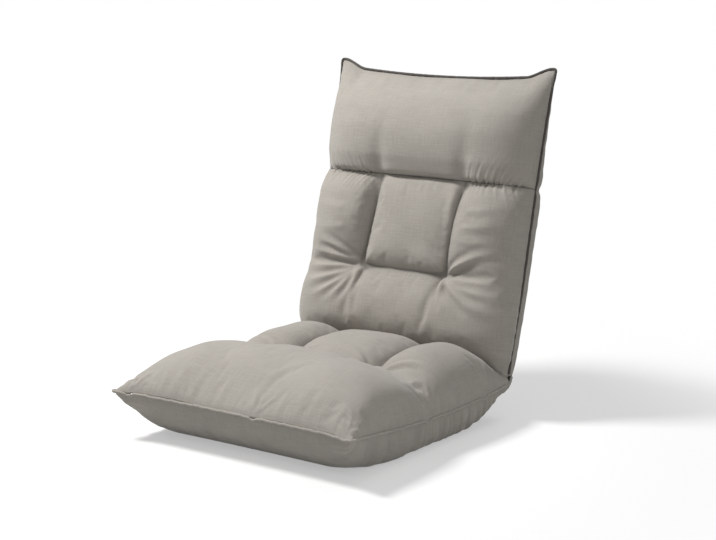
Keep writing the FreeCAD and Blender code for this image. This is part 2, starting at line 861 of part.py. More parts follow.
def place_at(curve, y):
    """The parameter at which a side curve passes y."""
    low, high = curve.FirstParameter, curve.LastParameter
    rising = curve.value(high).y > curve.value(low).y
    for _ in range(40):
        middle = (low + high) / 2
        if (curve.value(middle).y < y) == rising:
            low = middle
        else:
            high = middle
    return low


def width_at(curve, y):
    """Half the width of a section at y, the side curve prolonged straight past its ends."""
    return curve.value(place_at(curve, y)).x


def prism(side, top):
    """Everything inside a section's plan outline."""
    deep = number("seat_length")
    left = side.toShape().mirror(V(), X_AXIS)
    open_y = side.value(side.FirstParameter).y
    closing = Part.LineSegment(V(half_seam, open_y, 0), V(-half_seam, open_y, 0)).toShape()
    edges = Part.sortEdges([side.toShape(), top.toShape(), left, closing])[0]
    face = Part.Face(Part.Wire(edges))
    face.translate(V(0, 0, -deep / 2))
    return face.extrude(V(0, 0, deep))


seat_plan = prism(seat_side, seat_end)
head_plan = prism(head_side, head_top)


# Quilted cushions and rear pads. Each is a loft along Y through sections of lines and arcs.

edge = seam + number("edge_height")
BIG = number("seat_length")
column = number("column_width") / 2

# How far out the outer flank of a quilt is at its fullest: a share of its width
FULLNESS = 0.72
# How round the chambers are: the height halfway from a channel to a crown
CHANNEL_EASE = 0.78
# How full the side of a rear pad is: a share of its inset
PAD_FULLNESS = 0.78


def line(a, b):
    return Part.LineSegment(a, b).toShape()


def arc(a, middle, b):
    return Part.Arc(a, middle, b).toShape()


def ease(channel, crown):
    """Height halfway between a channel and a crown, on the round side of straight."""
    return channel + (crown - channel) * CHANNEL_EASE


def share(low, high, part):
    return low + (high - low) * part


def flat_seam(y):
    """The height of the sewn edge of back and head at y."""
    return seam


def seat_seam(y):
    """The height of the seat's sewn edge at y. It sags between the hinge and the ears."""
    part = y / seat_front
    return seam - number("seam_sag") * 4 * part * (1 - part)


def seam_tool():
    """Everything above the seat's sewn edge."""
    places = [seat_open * 2 + (seat_front - seat_open * 3) * step / 6 for step in range(7)]
    curve = smooth(*[V(-BIG, y, seat_seam(y)) for y in places])
    first, last = V(-BIG, places[0], BIG), V(-BIG, places[-1], BIG)
    ends = [curve.EndPoint, last, first, curve.StartPoint]
    edges = [curve.toShape()] + [line(a, b) for a, b in zip(ends, ends[1:])]
    return Part.Face(Part.Wire(edges)).extrude(V(BIG * 2, 0, 0))


def quilt_section(y, width, middle, side, channel, shoulder, seam_at):
    """A section across a quilt: three chambers with crowns at middle and side, two channels
    between them, and flanks that pass their shoulder height on the way to the sewn edge. A quilt
    with a sagging seam starts a little too low, for the cut along the seam."""
    edge = seam_at(y) + number("edge_height")
    base = seam if seam_at is flat_seam else seam_at(y) - number("edge_height")
    mid_side = (column + width) / 2
    half_way = (mid_side + column) / 2
    flank = mid_side + (width - mid_side) * FULLNESS
    flank_height = share(edge, side, shoulder)
    chamber = ease(channel, side)
    return Part.Wire(
        [
            line(V(-width, y, base), V(width, y, base)),
            line(V(width, y, base), V(width, y, edge)),
            arc(V(width, y, edge), V(flank, y, flank_height), V(mid_side, y, side)),
            arc(V(mid_side, y, side), V(half_way, y, chamber), V(column, y, channel)),
            arc(V(column, y, channel), V(0, y, middle), V(-column, y, channel)),
            arc(V(-column, y, channel), V(-half_way, y, chamber), V(-mid_side, y, side)),
            arc(V(-mid_side, y, side), V(-flank, y, flank_height), V(-width, y, edge)),
            line(V(-width, y, edge), V(-width, y, base)),
        ]
    )


def quilt(rows, curve, shoulder, seam_at):
    """A quilt through rows of (y, middle crown, side crown, channel height)."""
    wires = []
    for y, *heights in rows:
        wires.append(quilt_section(y, width_at(curve, y), *heights, shoulder, seam_at))
    return Part.makeLoft(wires, True, False)


def pad_section(y, width, inset, depth, seam_at):
    """A section across a rear pad: straight on the seam side, round at the sides, flat behind. A
    pad with a sagging seam starts a little too high, for the cut along the seam."""
    floor_width = width - inset
    side = floor_width + inset * PAD_FULLNESS
    low = seam_at(y)
    middle = share(low, -depth, 0.62)
    top = seam if seam_at is flat_seam else low + number("edge_height")
    ends = [V(-width, y, low), V(-width, y, top), V(width, y, top), V(width, y, low)]
    rim = [line(a, b) for a, b in zip(ends, ends[1:]) if a != b]
    return Part.Wire(
        rim
        + [
            arc(V(width, y, low), V(side, y, middle), V(floor_width, y, -depth)),
            line(V(floor_width, y, -depth), V(-floor_width, y, -depth)),
            arc(V(-floor_width, y, -depth), V(-side, y, middle), V(-width, y, low)),
        ]
    )


def pad(rows, curve, seam_at):
    """A rear pad through rows of (y, side inset, depth)."""
    wires = []
    for y, inset, depth in rows:
        wires.append(pad_section(y, width_at(curve, y), inset, depth, seam_at))
    return Part.makeLoft(wires, True, False)


def raised(y0, y1, sag=0):
    """The part of a rear pad that fills the frame's plane up to the tubes."""
    bottom = seam - sag - end
    return Part.makeBox(core_half * 2, y1 - y0, -core_bottom - bottom, V(-core_half, y0, bottom))


seat_tufts = -number("seat_tufts")
back_tufts = number("back_tufts")


def crease_cutter(direction):
    """All that lies beyond the crease plane, which halves the angle between seat and back, and
    beyond the hinge behind the frame plane. direction points from the section to the hinge."""
    if direction > 0:
        corner = V(-BIG, gap / 2, -BIG)
    else:
        corner = V(-BIG, -BIG - gap / 2, -BIG)
    beyond = Part.makeBox(BIG * 2, BIG, BIG * 2, corner)
    lean = 90 - number("rest_angle") / 2
    low_corner = V(-BIG, -gap / 2, -BIG) if direction > 0 else V(-BIG, gap / 2 - BIG, -BIG)
    behind = Part.makeBox(BIG * 2, BIG, BIG, low_corner)
    beyond.translate(V(0, -gap * direction, 0))
    beyond.rotate(V(), X_AXIS, lean * direction)
    return beyond.fuse(behind)


above_seam = seam_tool()

# Bolster at the front of the seat
bolster_crown = number("bolster_crown")
tuft_height = number("seat_tuft_height")
bolster_rows = [
    (seat_tufts, tuft_height, tuft_height + 4, tuft_height - 5),
    (share(seat_tufts, seat_front, 0.16), bolster_crown - 8, bolster_crown - 12, bolster_crown - 13),
    (share(seat_tufts, seat_front, 0.42), bolster_crown, bolster_crown - 6, bolster_crown - 3),
    (share(seat_tufts, seat_front, 0.68), bolster_crown - 13, bolster_crown - 20, bolster_crown - 15),
    (share(seat_tufts, seat_front, 0.88), bolster_crown * 0.3, bolster_crown * 0.22, bolster_crown * 0.28),
    (seat_front, edge + 2, edge + 1, edge + 1.5),
]
seat_core_pocket = core_pocket(seat_core_outline, seat_frame_end, -core_near)
bolster = quilt(bolster_rows, seat_side, 0.62, seat_seam)
bolster = bolster.common(seat_plan).common(above_seam).cut(seat_core_pocket)
finish("seat_bolster", solid_feature(bolster), seat_place)

# Three chambers behind it
crown = number("seat_crown")
crease = number("crease_height")
seat_rows = [
    (seat_tufts, tuft_height, tuft_height + 4, tuft_height - 5),
    (share(seat_tufts, 0, 0.2), crown - 8, crown - 8, tuft_height + 4),
    (share(seat_tufts, 0, 0.5), crown, crown, tuft_height + 10),
    (share(seat_tufts, 0, 0.8), crease + 2, crease + 2, tuft_height + 8),
    (share(seat_tufts, 0, 1.06), crease - 14, crease - 14, tuft_height),
]
seat_quilt = quilt(seat_rows, seat_side, 0.7, seat_seam).common(above_seam)
seat_quilt = seat_quilt.cut(crease_cutter(1)).cut(seat_core_pocket)
seat_quilt = seat_quilt.cut(hinge_pocket(0, -case_reach, 0))
seat_quilt = seat_quilt.cut(tube_pocket(-core_near - end, -case_reach + end))
finish("seat_rear_quilt", solid_feature(seat_quilt), seat_place)

# Pad under the seat frame, cut flat where it stands on the grip cloth
floor_inset = half_seam - number("flat_width") / 2


def floor_depth(y):
    """The depth below the frame plane at which the seat pad meets the grip cloth."""
    slope = math.radians(rise)
    return (number("hinge_height") - number("grip_thickness") - y * math.sin(slope)) / math.cos(slope)


def pad_depth(y, part):
    """A part of the way from the sewn edge down to the grip cloth."""
    return share(-seam, floor_depth(y), part)


flat_front = -number("flat_front")
flat_rear = -number("flat_rear")
hinge_depth = number("hinge_end_depth")
seat_pad_rows = [
    (seat_front, floor_inset * 0.7, -seam + end * 4),
    (share(seat_front, flat_front, 0.25), floor_inset * 0.9, pad_depth(seat_front, 0.52)),
    (share(seat_front, flat_front, 0.6), floor_inset, pad_depth(seat_front, 0.87)),
    (flat_front, floor_inset, floor_depth(flat_front) + 0.5),
    ((flat_front + flat_rear) / 2, floor_inset, floor_depth(-hinge_y) + 0.5),
    (flat_rear, floor_inset, floor_depth(flat_rear) + 0.5),
    (flat_rear * 0.65, floor_inset, share(hinge_depth, floor_depth(0), 0.84)),
    (flat_rear * 0.3, floor_inset * 0.8, share(hinge_depth, floor_depth(0), 0.42)),
    (-end, floor_inset * 0.6, hinge_depth),
]
seat_pad = pad(seat_pad_rows, seat_side, seat_seam).common(seat_plan).cut(above_seam)
seat_pad = seat_pad.fuse(raised(seat_frame_end, -core_near, number("seam_sag")))
floor_cutter = Part.makeBox(BIG * 2, BIG * 2, BIG, V(-BIG, -BIG, number("grip_thickness") - BIG))
floor_cutter.Placement = seat_place.inverse().multiply(floor_cutter.Placement)
seat_pad = seat_pad.cut(floor_cutter).cut(hinge_pocket(0, -case_reach, 0))
finish("seat_base_pad", solid_feature(seat_pad), seat_place)

# Lower chamber of the back
lumbar = number("lumbar_crown")
back_tuft = number("back_tuft_height")
lumbar_rows = [
    (share(back_tufts, 0, 1.06), crease - 12, crease - 12, crease - 16),
    (share(back_tufts, 0, 0.75), crease + 3, crease + 3, crease - 3),
    (share(back_tufts, 0, 0.45), lumbar, lumbar, lumbar - 8),
    (share(back_tufts, 0, 0.18), lumbar - 10, lumbar - 6, lumbar - 18),
    (back_tufts, back_tuft + 2, lumbar - 14, back_tuft - 2),
]
back_core_pocket = core_pocket(back_core_outline, core_near, back_end)
lumbar_quilt = quilt(lumbar_rows, back_side, 0.6, flat_seam).cut(crease_cutter(-1))
lumbar_quilt = lumbar_quilt.cut(back_core_pocket)
lumbar_quilt = lumbar_quilt.cut(hinge_pocket(0, 0, case_reach))
lumbar_quilt = lumbar_quilt.cut(tube_pocket(case_reach - end, core_near + end))
finish("back_lumbar_quilt", solid_feature(lumbar_quilt), back_place)

# Upper chambers of the back
upper = number("back_crown")
head_seam = number("head_seam_height")
upper_rows = [
    (back_tufts, back_tuft + 2, lumbar - 14, back_tuft - 2),
    (share(back_tufts, back_end, 0.2), upper - 8, upper - 2, back_tuft + 2),
    (share(back_tufts, back_end, 0.5), upper, upper, back_tuft + 5),
    (share(back_tufts, back_end, 0.82), upper - 8, upper - 6, back_tuft + 3),
    (back_end - end / 2, head_seam + 1, head_seam, head_seam - 1),
]
upper_quilt = quilt(upper_rows, back_side, 0.52, flat_seam)
upper_quilt = upper_quilt.cut(back_core_pocket).cut(head_hinge_pocket)
finish("back_upper_quilt", solid_feature(upper_quilt), back_place)

# Rear pad of the back, cut flat behind
rear = number("rear_depth")
head_rear = number("head_rear_depth")
REAR_INSET = 14
back_pad_rows = [
    (end, REAR_INSET, number("hinge_end_depth")),
    (share(0, back_tufts, 0.14), REAR_INSET, share(number("hinge_end_depth"), rear, 0.75)),
    (share(0, back_tufts, 0.28), REAR_INSET, rear + end),
    (back_tufts, REAR_INSET, rear + end),
    (share(0, back_end, 0.75), REAR_INSET, share(rear, head_rear, 0.4)),
    (back_end - end / 2, REAR_INSET, head_rear),
]
back_pad = pad(back_pad_rows, back_side, flat_seam)
back_pad = back_pad.fuse(raised(core_near, back_end - end / 2))
back_pad = back_pad.cut(Part.makeBox(BIG * 2, BIG * 2, BIG, V(-BIG, -BIG, -rear - BIG)))
back_pad = back_pad.cut(hinge_pocket(0, 0, case_reach)).cut(head_hinge_pocket)
finish("back_rear_pad", solid_feature(back_pad), back_place)

# Head section
head_crown = number("head_crown")
head_rows = [
    (end / 2, head_seam + 1, head_seam, head_seam - 1),
    (share(0, head_end, 0.14), head_crown - 10, head_crown - 14, head_crown - 12),
    (share(0, head_end, 0.38), head_crown, head_crown - 6, head_crown - 2),
    (share(0, head_end, 0.66), head_crown - 14, head_crown - 22, head_crown - 16),
    (share(0, head_end, 0.9), edge + 10, edge + 13, edge + 9),
    (head_end, edge + 2, edge + 1, edge + 1.5),
]
head_quilt = quilt(head_rows, head_side, 0.46, flat_seam).common(head_plan)
head_core_pocket = core_pocket(head_core_outline, 0, head_frame_end)
head_quilt = head_quilt.cut(head_core_pocket).cut(top_hinge_pocket)
finish("head_quilt", solid_feature(head_quilt), head_place)

head_pad_rows = [
    (end / 2, REAR_INSET, head_rear),
    (share(0, head_end, 0.45), REAR_INSET, share(head_rear, -seam, 0.25)),
    (share(0, head_end, 0.8), REAR_INSET * 0.8, share(head_rear, -seam, 0.55)),
    (head_end, REAR_INSET / 2, -seam + end * 6),
]
head_pad = pad(head_pad_rows, head_side, flat_seam).common(head_plan)
head_pad = head_pad.fuse(raised(end / 2, head_frame_end)).cut(top_hinge_pocket)
finish("head_rear_pad", solid_feature(head_pad), head_place)


# Corded edges

cord_gap = number("piping_gap")
STEPS = 8


def beside(curve, first, last, distance):
    """Points at a distance outside a plan curve, between two of its parameters."""
    centre = V(0, curve.value(last).y / 2, 0)
    points = []
    for step in range(STEPS + 1):
        at = first + (last - first) * step / STEPS
        point = curve.value(at)
        tangent = V(*curve.tangent(at)[0])
        normal = V(tangent.y, -tangent.x, 0).normalize()
        if normal.dot(point - centre) < 0:
            normal = -normal
        points.append(point + normal * distance)
    return points


def meeting(a, a_next, b, b_next):
    """Where the line through a and a_next crosses the line through b and b_next."""
    p, q = a_next - a, b_next - b
    part = ((b.x - a.x) * q.y - (b.y - a.y) * q.x) / (p.x * q.y - p.y * q.x)
    return a + p * part


def run(points, radius):
    """A round cord along a smooth curve through points."""
    return pipe(Part.Wire([smooth(*points).toShape()]), radius)


def at_seam(points, seam_at):
    return [V(point.x, point.y, seam_at(point.y)) for point in points]


def ear_cord(side, top, open_y, radius, seam_at):
    """A cord up the right edge, round the ear, along the end to the other ear and back down."""
    distance = cord_gap + radius
    low = place_at(side, open_y)
    up = beside(side, low, side.LastParameter, distance)
    over = beside(top, top.FirstParameter, top.LastParameter, distance)
    tip = meeting(up[-2], up[-1], over[1], over[0])
    far_tip = V(-tip.x, tip.y, 0)
    right = run(at_seam(up[:-1] + [tip], seam_at), radius)
    left = right.mirror(V(), X_AXIS)
    end_run = run(at_seam([tip] + over[1:-1] + [far_tip], seam_at), radius)
    tips = [Part.makeSphere(radius, point) for point in at_seam([tip, far_tip], seam_at)]
    return end_run.fuse([right, left] + tips)


welt_radius = number("welt_diameter") / 2
piping_radius = number("piping_diameter") / 2
CORD_START = 12
welt = ear_cord(seat_side, seat_end, -CORD_START, welt_radius, seat_seam)
finish("seat_edge_welt", solid_feature(welt), seat_place)
top_piping = ear_cord(head_side, head_top, CORD_START / 4, piping_radius, flat_seam)
finish("head_edge_piping", solid_feature(top_piping), head_place)

piping = cell("piping_diameter") / 2
piping_x = cell("seam_width") / 2 + cell("piping_gap") + piping
piping_start = cell("end_gap") * 12
piping_run = cell("back_length") - piping_start * 2
side_cords = [
    rod(piping, piping_start, piping_run, "y", x=on_side(side, piping_x), z=-cell("seam_drop"))
    for side in SIDES.values()
]
finish("back_edge_piping", group(*side_cords), back_place)


# Cloth over the seat hinge, from the end of the seat pad to the end of the back's pad


def fold_cloth():
    outer = number("hinge_end_depth")
    inner = outer - number("fold_cloth")
    length = number("fold_cloth_width")
    start = V(-length / 2, 0, 0)
    margin = math.degrees(gap / inner)
    sector = Part.makeCylinder(outer, length, start, X_AXIS, back_turn - margin * 2)
    made = sector.cut(Part.makeCylinder(inner, length, start, X_AXIS))
    made.rotate(V(), X_AXIS, STRAIGHT_DOWN + margin)
    return made


# A sector starts straight up, and half a turn brings its start straight down
STRAIGHT_DOWN = 180
finish("hinge_fold_cloth", solid_feature(fold_cloth()), seat_place)


# Grip cloth under the seat and the zip across the back


def plane_of(body, role):
    return next(f for f in body.Origin.OriginFeatures if f.Role == role)


def plate_body(label, width, length, thickness, y, z, place):
    """A flat rectangular piece as a padded sketch: centred across the chair at y, from z up."""
    body = doc.addObject("PartDesign::Body", "body")
    sketch = body.newObject("Sketcher::SketchObject", "outline")
    sketch.AttachmentSupport = [(plane_of(body, "XY_Plane"), "")]
    sketch.MapMode = "FlatFace"
    half_x, half_y = float(width) / 2, float(length) / 2
    corners = [V(-half_x, -half_y, 0), V(half_x, -half_y, 0), V(half_x, half_y, 0), V(-half_x, half_y, 0)]
    for a, b in zip(corners, corners[1:] + corners[:1]):
        sketch.addGeometry(Part.LineSegment(a, b))
    for line_number in range(4):
        sketch.addConstraint(
            Sketcher.Constraint("Coincident", line_number, 2, (line_number + 1) % 4, 1)
        )
    for line_number, kind in enumerate(("Horizontal", "Vertical", "Horizontal", "Vertical")):
        sketch.addConstraint(Sketcher.Constraint(kind, line_number))
    sketch.addConstraint(Sketcher.Constraint("Symmetric", 0, 1, 1, 2, -1, 1))
    across_constraint = sketch.addConstraint(Sketcher.Constraint("DistanceX", 0, 1, 0, 2, half_x * 2))
    along_constraint = sketch.addConstraint(Sketcher.Constraint("DistanceY", 1, 1, 1, 2, half_y * 2))
    sketch.setExpression(f"Constraints[{across_constraint}]", width.formula)
    sketch.setExpression(f"Constraints[{along_constraint}]", length.formula)
    raise_by = body.newObject("PartDesign::Pad", "thickness")
    raise_by.Profile = sketch
    bind(raise_by, "Length", thickness)
    offset = FreeCAD.Placement(V(0, float(y), float(z)), FreeCAD.Rotation())
    return finish(label, body, place.multiply(offset))


flat_length = cell("flat_front") - cell("flat_rear")
plate_body(
    "seat_grip_cloth",
    cell("flat_width"),
    flat_length,
    cell("grip_thickness"),
    zero,
    zero,
    FreeCAD.Placement(),
)
tape_face = cell("rear_depth") + cell("zip_tape")
plate_body(
    "zip_tape",
    cell("zip_length"),
    cell("zip_width"),
    cell("zip_tape"),
    cell("zip_height"),
    -tape_face,
    back_place,
)


def zip_slider():
    """The slider at the zip's closed end, with its pull tab lying along the zip."""
    top = -tape_face - cell("pad_gap")
    bottom = top - cell("slider_height")
    middle = cell("zip_travel") / 2
    half = cell("slider_length") / 2
    side = cell("slider_width") / 2
    centre = cell("zip_height")
    body = box(middle - half, middle + half, centre - side, centre + side, bottom, top)
    tab = box(
        middle - half - cell("pull_length"),
        middle,
        centre - side / 2,
        centre + side / 2,
        bottom,
        bottom + cell("slider_height") / 2,
    )
    return fused(body, tab)


finish("zip_slider", zip_slider(), back_place)


# Checks and files

doc.recompute()
broken = [o.Name for o in doc.Objects if {"Invalid", "Error"} & set(o.State)]
if broken:
    raise RuntimeError(f"these objects failed: {broken}")

os.makedirs("parts", exist_ok=True)
for node in nodes:
    shape = node.Shape
    if shape.isNull() or not shape.isValid() or not shape.Solids:
        raise RuntimeError(f"{node.Label} has no sound solid")
    if not re.fullmatch(r"[a-z0-9_]+", node.Label):
        raise RuntimeError(f"{node.Label} is no file name")
    shape.exportStep(f"parts/{node.Label}.step")
print(len(nodes), "sub-parts written")
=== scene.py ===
"""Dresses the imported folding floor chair: filled covers, corded edges, zip, steel and foam.

Lengths are metres. Each section of the chair is drawn unfolded, in its own frame: x runs across the
chair, y from the sitter's knees to the head, and z points out of the padded side. The seat and the
back have y 0 on the seat hinge.
"""

import logging
import math
from dataclasses import dataclass
from enum import Enum

import bpy
import numpy as np
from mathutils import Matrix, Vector


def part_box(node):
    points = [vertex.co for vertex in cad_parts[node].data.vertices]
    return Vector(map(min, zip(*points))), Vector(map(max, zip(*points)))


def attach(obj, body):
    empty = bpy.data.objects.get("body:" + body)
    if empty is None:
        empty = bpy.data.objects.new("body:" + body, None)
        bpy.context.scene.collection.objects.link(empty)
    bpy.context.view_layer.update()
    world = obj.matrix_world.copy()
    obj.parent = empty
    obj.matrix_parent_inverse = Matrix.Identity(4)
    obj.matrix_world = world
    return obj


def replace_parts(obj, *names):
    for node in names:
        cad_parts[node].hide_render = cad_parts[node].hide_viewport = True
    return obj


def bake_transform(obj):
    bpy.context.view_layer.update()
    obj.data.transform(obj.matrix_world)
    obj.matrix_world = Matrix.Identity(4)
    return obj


Array = np.ndarray

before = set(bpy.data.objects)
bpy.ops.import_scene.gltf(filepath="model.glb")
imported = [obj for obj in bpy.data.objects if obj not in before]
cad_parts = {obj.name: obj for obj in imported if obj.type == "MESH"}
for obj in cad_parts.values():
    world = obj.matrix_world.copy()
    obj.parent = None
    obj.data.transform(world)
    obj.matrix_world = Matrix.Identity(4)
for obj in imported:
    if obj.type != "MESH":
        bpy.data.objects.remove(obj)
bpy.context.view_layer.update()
log = logging.getLogger("floor_chair")


# Surfaces and curves


def smoothstep(low: float, high: float, at: Array) -> Array:
    """Rises from 0 at low to 1 at high along 3t^2 - 2t^3.

    Args:
        low: where the rise starts.
        high: where it ends; it may lie below low, and then the value falls.
        at: the places.

    Returns:
        The value at each place.
    """
    t = np.clip((at - low) / (high - low), 0.0, 1.0)
    return t * t * (3.0 - 2.0 * t)


def groove(distance: Array, width: float | Array, power: float) -> Array:
    """A sewn channel's section, exp(-(|distance| / width)^power): 1 on the thread, 0 far from it.

    Args:
        distance: distance from the thread.
        width: distance at which the fabric has risen by two thirds.
        power: 1 gives a sharp fold at the thread, 2 a soft hollow.

    Returns:
        The share of the channel's depth at each distance.
    """
    return np.exp(-((np.abs(distance) / width) ** power))


class Profile:
    """A smooth curve through knots that never overshoots them (a monotone cubic)."""

    def __init__(self, *knots: tuple[float, float]) -> None:
        """Sorts the knots and works out a slope at each.

        Args:
            knots: pairs of place and value.
        """
        self.x, self.y = np.array(sorted(knots), float).T
        run = np.diff(self.x)
        rise = np.diff(self.y) / run
        inner = rise[:-1] * rise[1:]
        both = np.where(np.abs(rise[:-1] + rise[1:]) < 1e-12, 1.0, rise[:-1] + rise[1:])
        middle = np.where(inner > 0, 2.0 * inner / both, 0.0)
        self.run = run
        self.slope = np.concatenate(([rise[0]], middle, [rise[-1]]))

    def __call__(self, at: Array) -> Array:
        """Hermite value between the two knots round each place, held level past the last ones.

        Args:
            at: the places.

        Returns:
            The value at each place.
        """
        at = np.clip(at, self.x[0], self.x[-1])
        i = np.clip(np.searchsorted(self.x, at, side="right") - 1, 0, len(self.run) - 1)
        h = self.run[i]
        t = (at - self.x[i]) / h
        return (
            self.y[i] * (1 + 2 * t) * (1 - t) ** 2
            + self.slope[i] * h * t * (1 - t) ** 2
            + self.y[i + 1] * t * t * (3 - 2 * t)
            + self.slope[i + 1] * h * t * t * (t - 1)
        )


def even_steps(curve: Array, count: int) -> Array:
    """Parameters that divide a curve into equal lengths.

    Args:
        curve: points along the curve, at evenly spaced parameters from 0 to 1.
        count: how many parameters to give.

    Returns:
        Parameters from 0 to 1 at equal distances along the curve.
    """
    steps = np.linalg.norm(np.diff(curve, axis=0), axis=1)
    length = np.concatenate(([0.0], np.cumsum(steps)))
    return np.interp(np.linspace(0, length[-1], count), length, np.linspace(0, 1, len(curve)))


def normals_of(grid: Array) -> Array:
    """Unit normals of a grid of points: the cross product of its two directions.

    Args:
        grid: points, rows by columns by 3.

    Returns:
        A unit vector at each point.
    """
    along = np.gradient(grid, axis=0)
    across = np.gradient(grid, axis=1)
    normal = np.cross(across, along)
    size = np.linalg.norm(normal, axis=-1, keepdims=True)
    return normal / np.maximum(size, 1e-12)


@dataclass(frozen=True)
class SectionFrame:
    """Where a section of the chair lies: its hinge line, and its turn about the X axis."""

    hinge: tuple[float, float, float]
    turn_deg: float

    def to_world(self, points: Array) -> Array:
        """Turns points about X by the section's angle and moves them to its hinge.

        Args:
            points: points in the section's frame.

        Returns:
            The same points in the chair's frame.
        """
        c, s = math.cos(math.radians(self.turn_deg)), math.sin(math.radians(self.turn_deg))
        x, y, z = points[..., 0], points[..., 1], points[..., 2]
        return np.stack([x, y * c - z * s, y * s + z * c], axis=-1) + np.array(self.hinge)


SEAT_HINGE = (0.0, 0.285, 0.085)
SEAT_FRAME = SectionFrame(SEAT_HINGE, -2.35)
BACK_FRAME = SectionFrame(SEAT_HINGE, 76.85)
# Half the angle between seat and back, where the two covers meet
CREASE_ANGLE = math.radians(100.8 / 2)


@dataclass(frozen=True)
class Fold:
    """A fold in filled cloth, from one place on a section to another."""

    start: tuple[float, float]
    end: tuple[float, float]
    width: float
    height: float
    bow: float = 0.0
    lip: float = 0.6

    def relief(self, x: Array, y: Array) -> Array:
        """Height of the fold: a crisp ridge along a bowed line, with a hollow on each side.

        The ridge is height * exp(-(d / width)^1.5), where d is the distance from the line, less lip
        times a softer ridge 1.6 widths to one side, and half of that to the other. All of it starts
        quickly at the first end and fades slowly towards the second.

        Args:
            x: places across the section.
            y: places along the section.

        Returns:
            How far the cloth stands out at each place.
        """
        dx, dy = self.end[0] - self.start[0], self.end[1] - self.start[1]
        length = math.hypot(dx, dy)
        px, py = x - self.start[0], y - self.start[1]
        t = (px * dx + py * dy) / length**2
        inside = np.clip(t, 0.0, 1.0)
        off = (px * dy - py * dx) / length - self.bow * 4 * inside * (1 - inside)
        fade = smoothstep(0.02, 0.22, t) * smoothstep(1.0, 0.45, t)
        width = self.width * (0.75 + 0.7 * inside)
        ridge = np.exp(-(np.abs(off / width) ** 1.5))
        near = np.exp(-(((off - 1.6 * width) / width) ** 2))
        far = np.exp(-(((off + 1.6 * width) / width) ** 2))
        return self.height * fade * (ridge - self.lip * (near + 0.5 * far))


def relief_of(folds: list[Fold], x: Array, y: Array) -> Array:
    """The folds' heights added up.

    Args:
        folds: the folds of one cover.
        x: places across the section.
        y: places along the section.

    Returns:
        How far the cloth stands out at each place.
    """
    total = np.zeros(np.broadcast(x, y).shape)
    for fold in folds:
        total = total + fold.relief(x, y)
    return total


def puckers(at: Array, spacing: float, seed: int) -> Array:
    """Uneven gathers along a seam: three sine waves of close pitches whose phases wander slowly.

    Args:
        at: distance along the seam.
        spacing: mean distance between gathers.
        seed: chooses the phases.

    Returns:
        A value from about -1 to 1 at each place.
    """
    phase = np.random.default_rng(seed).uniform(0, 2 * math.pi, 6)
    k = 2 * math.pi / spacing
    slow = np.sin(at * k * 0.13 + phase[0]) + np.sin(at * k * 0.071 + phase[1])
    return (
        np.sin(at * k + 1.8 * slow + phase[2])
        + 0.6 * np.sin(at * k * 1.7 + 2.3 * slow + phase[3])
        + 0.4 * np.sin(at * k * 0.45 + phase[4])
    ) / 2.0


def unevenness(x: Array, y: Array, length: float, seed: int) -> Array:
    """The lumps of hand-filled wadding: six sine waves in six directions, added up.

    Args:
        x: places across the section.
        y: places along the section.
        length: mean length of a lump.
        seed: chooses the directions, lengths and phases.

    Returns:
        A value from about -1 to 1 at each place.
    """
    rng = np.random.default_rng(seed)
    total = np.zeros(np.broadcast(x, y).shape)
    for turn in np.arange(6) * math.pi / 6 + rng.uniform(0, 0.5):
        k = 2 * math.pi / (length * rng.uniform(0.7, 1.5))
        total = total + np.sin(k * (x * math.cos(turn) + y * math.sin(turn)) + rng.uniform(0, 6.28))
    return total / 3.0


def kept_off_core(height: Array, x: Array, along: Array) -> Array:
    """Holds a cover off the foam core: low + e log(1 + exp((height - low) / e)).

    Args:
        height: the cover's heights above the frame plane.
        x: places across the section; the hold fades out beside the core.
        along: where along the section the core lies below.

    Returns:
        The new heights.
    """
    low, ease = 0.030, 0.0025
    limited = low + ease * np.logaddexp(0.0, (height - low) / ease)
    return height + (limited - height) * smoothstep(0.232, 0.215, np.abs(x)) * along


# Meshes


@dataclass
class Surface:
    """A closed or open surface as arrays: points, faces and the cloth's own coordinates."""

    points: Array
    quads: Array
    triangles: Array
    cloth: Array
    shade: Array

    def mesh(self, name: str) -> bpy.types.Object:
        """Puts the arrays into a mesh object at the origin.

        Args:
            name: the piece's name.

        Returns:
            The new object, linked to the scene.
        """
        made = bpy.data.meshes.new(name)
        loops = np.concatenate([self.quads.ravel(), self.triangles.ravel()]).astype(np.int32)
        sizes = np.concatenate([np.full(len(self.quads), 4), np.full(len(self.triangles), 3)])
        starts = np.concatenate(([0], np.cumsum(sizes)[:-1])).astype(np.int32)
        made.vertices.add(len(self.points))
        made.vertices.foreach_set("co", self.points.astype(np.float32).ravel())
        made.loops.add(len(loops))
        made.loops.foreach_set("vertex_index", loops)
        made.polygons.add(len(sizes))
        made.polygons.foreach_set("loop_start", starts)
        made.update(calc_edges=True)
        made.polygons.foreach_set("use_smooth", np.ones(len(sizes), bool))
        layer = made.uv_layers.new(name="cloth")
        layer.data.foreach_set("uv", self.cloth[loops].astype(np.float32).ravel())
        shade = made.attributes.new("fold_shade", "FLOAT", "POINT")
        shade.data.foreach_set("value", self.shade.astype(np.float32))
        made.validate()
        made.update()
        piece = bpy.data.objects.new(name, made)
        bpy.context.scene.collection.objects.link(piece)
        return piece


def grid_quads(rows: int, columns: int, wrap: bool = False) -> Array:
    """Faces of a grid, turned so that columns crossed with rows point outwards.

    Args:
        rows: number of rows.
        columns: number of columns.
        wrap: joins the last column to the first.

    Returns:
        Four point numbers for each face.
    """
    j = np.arange(columns if wrap else columns - 1)
    i = np.arange(rows - 1)[:, None]
    a = i * columns + j
    b = i * columns + (j + 1) % columns
    return np.stack([a, b, b + columns, a + columns], axis=-1).reshape(-1, 4)


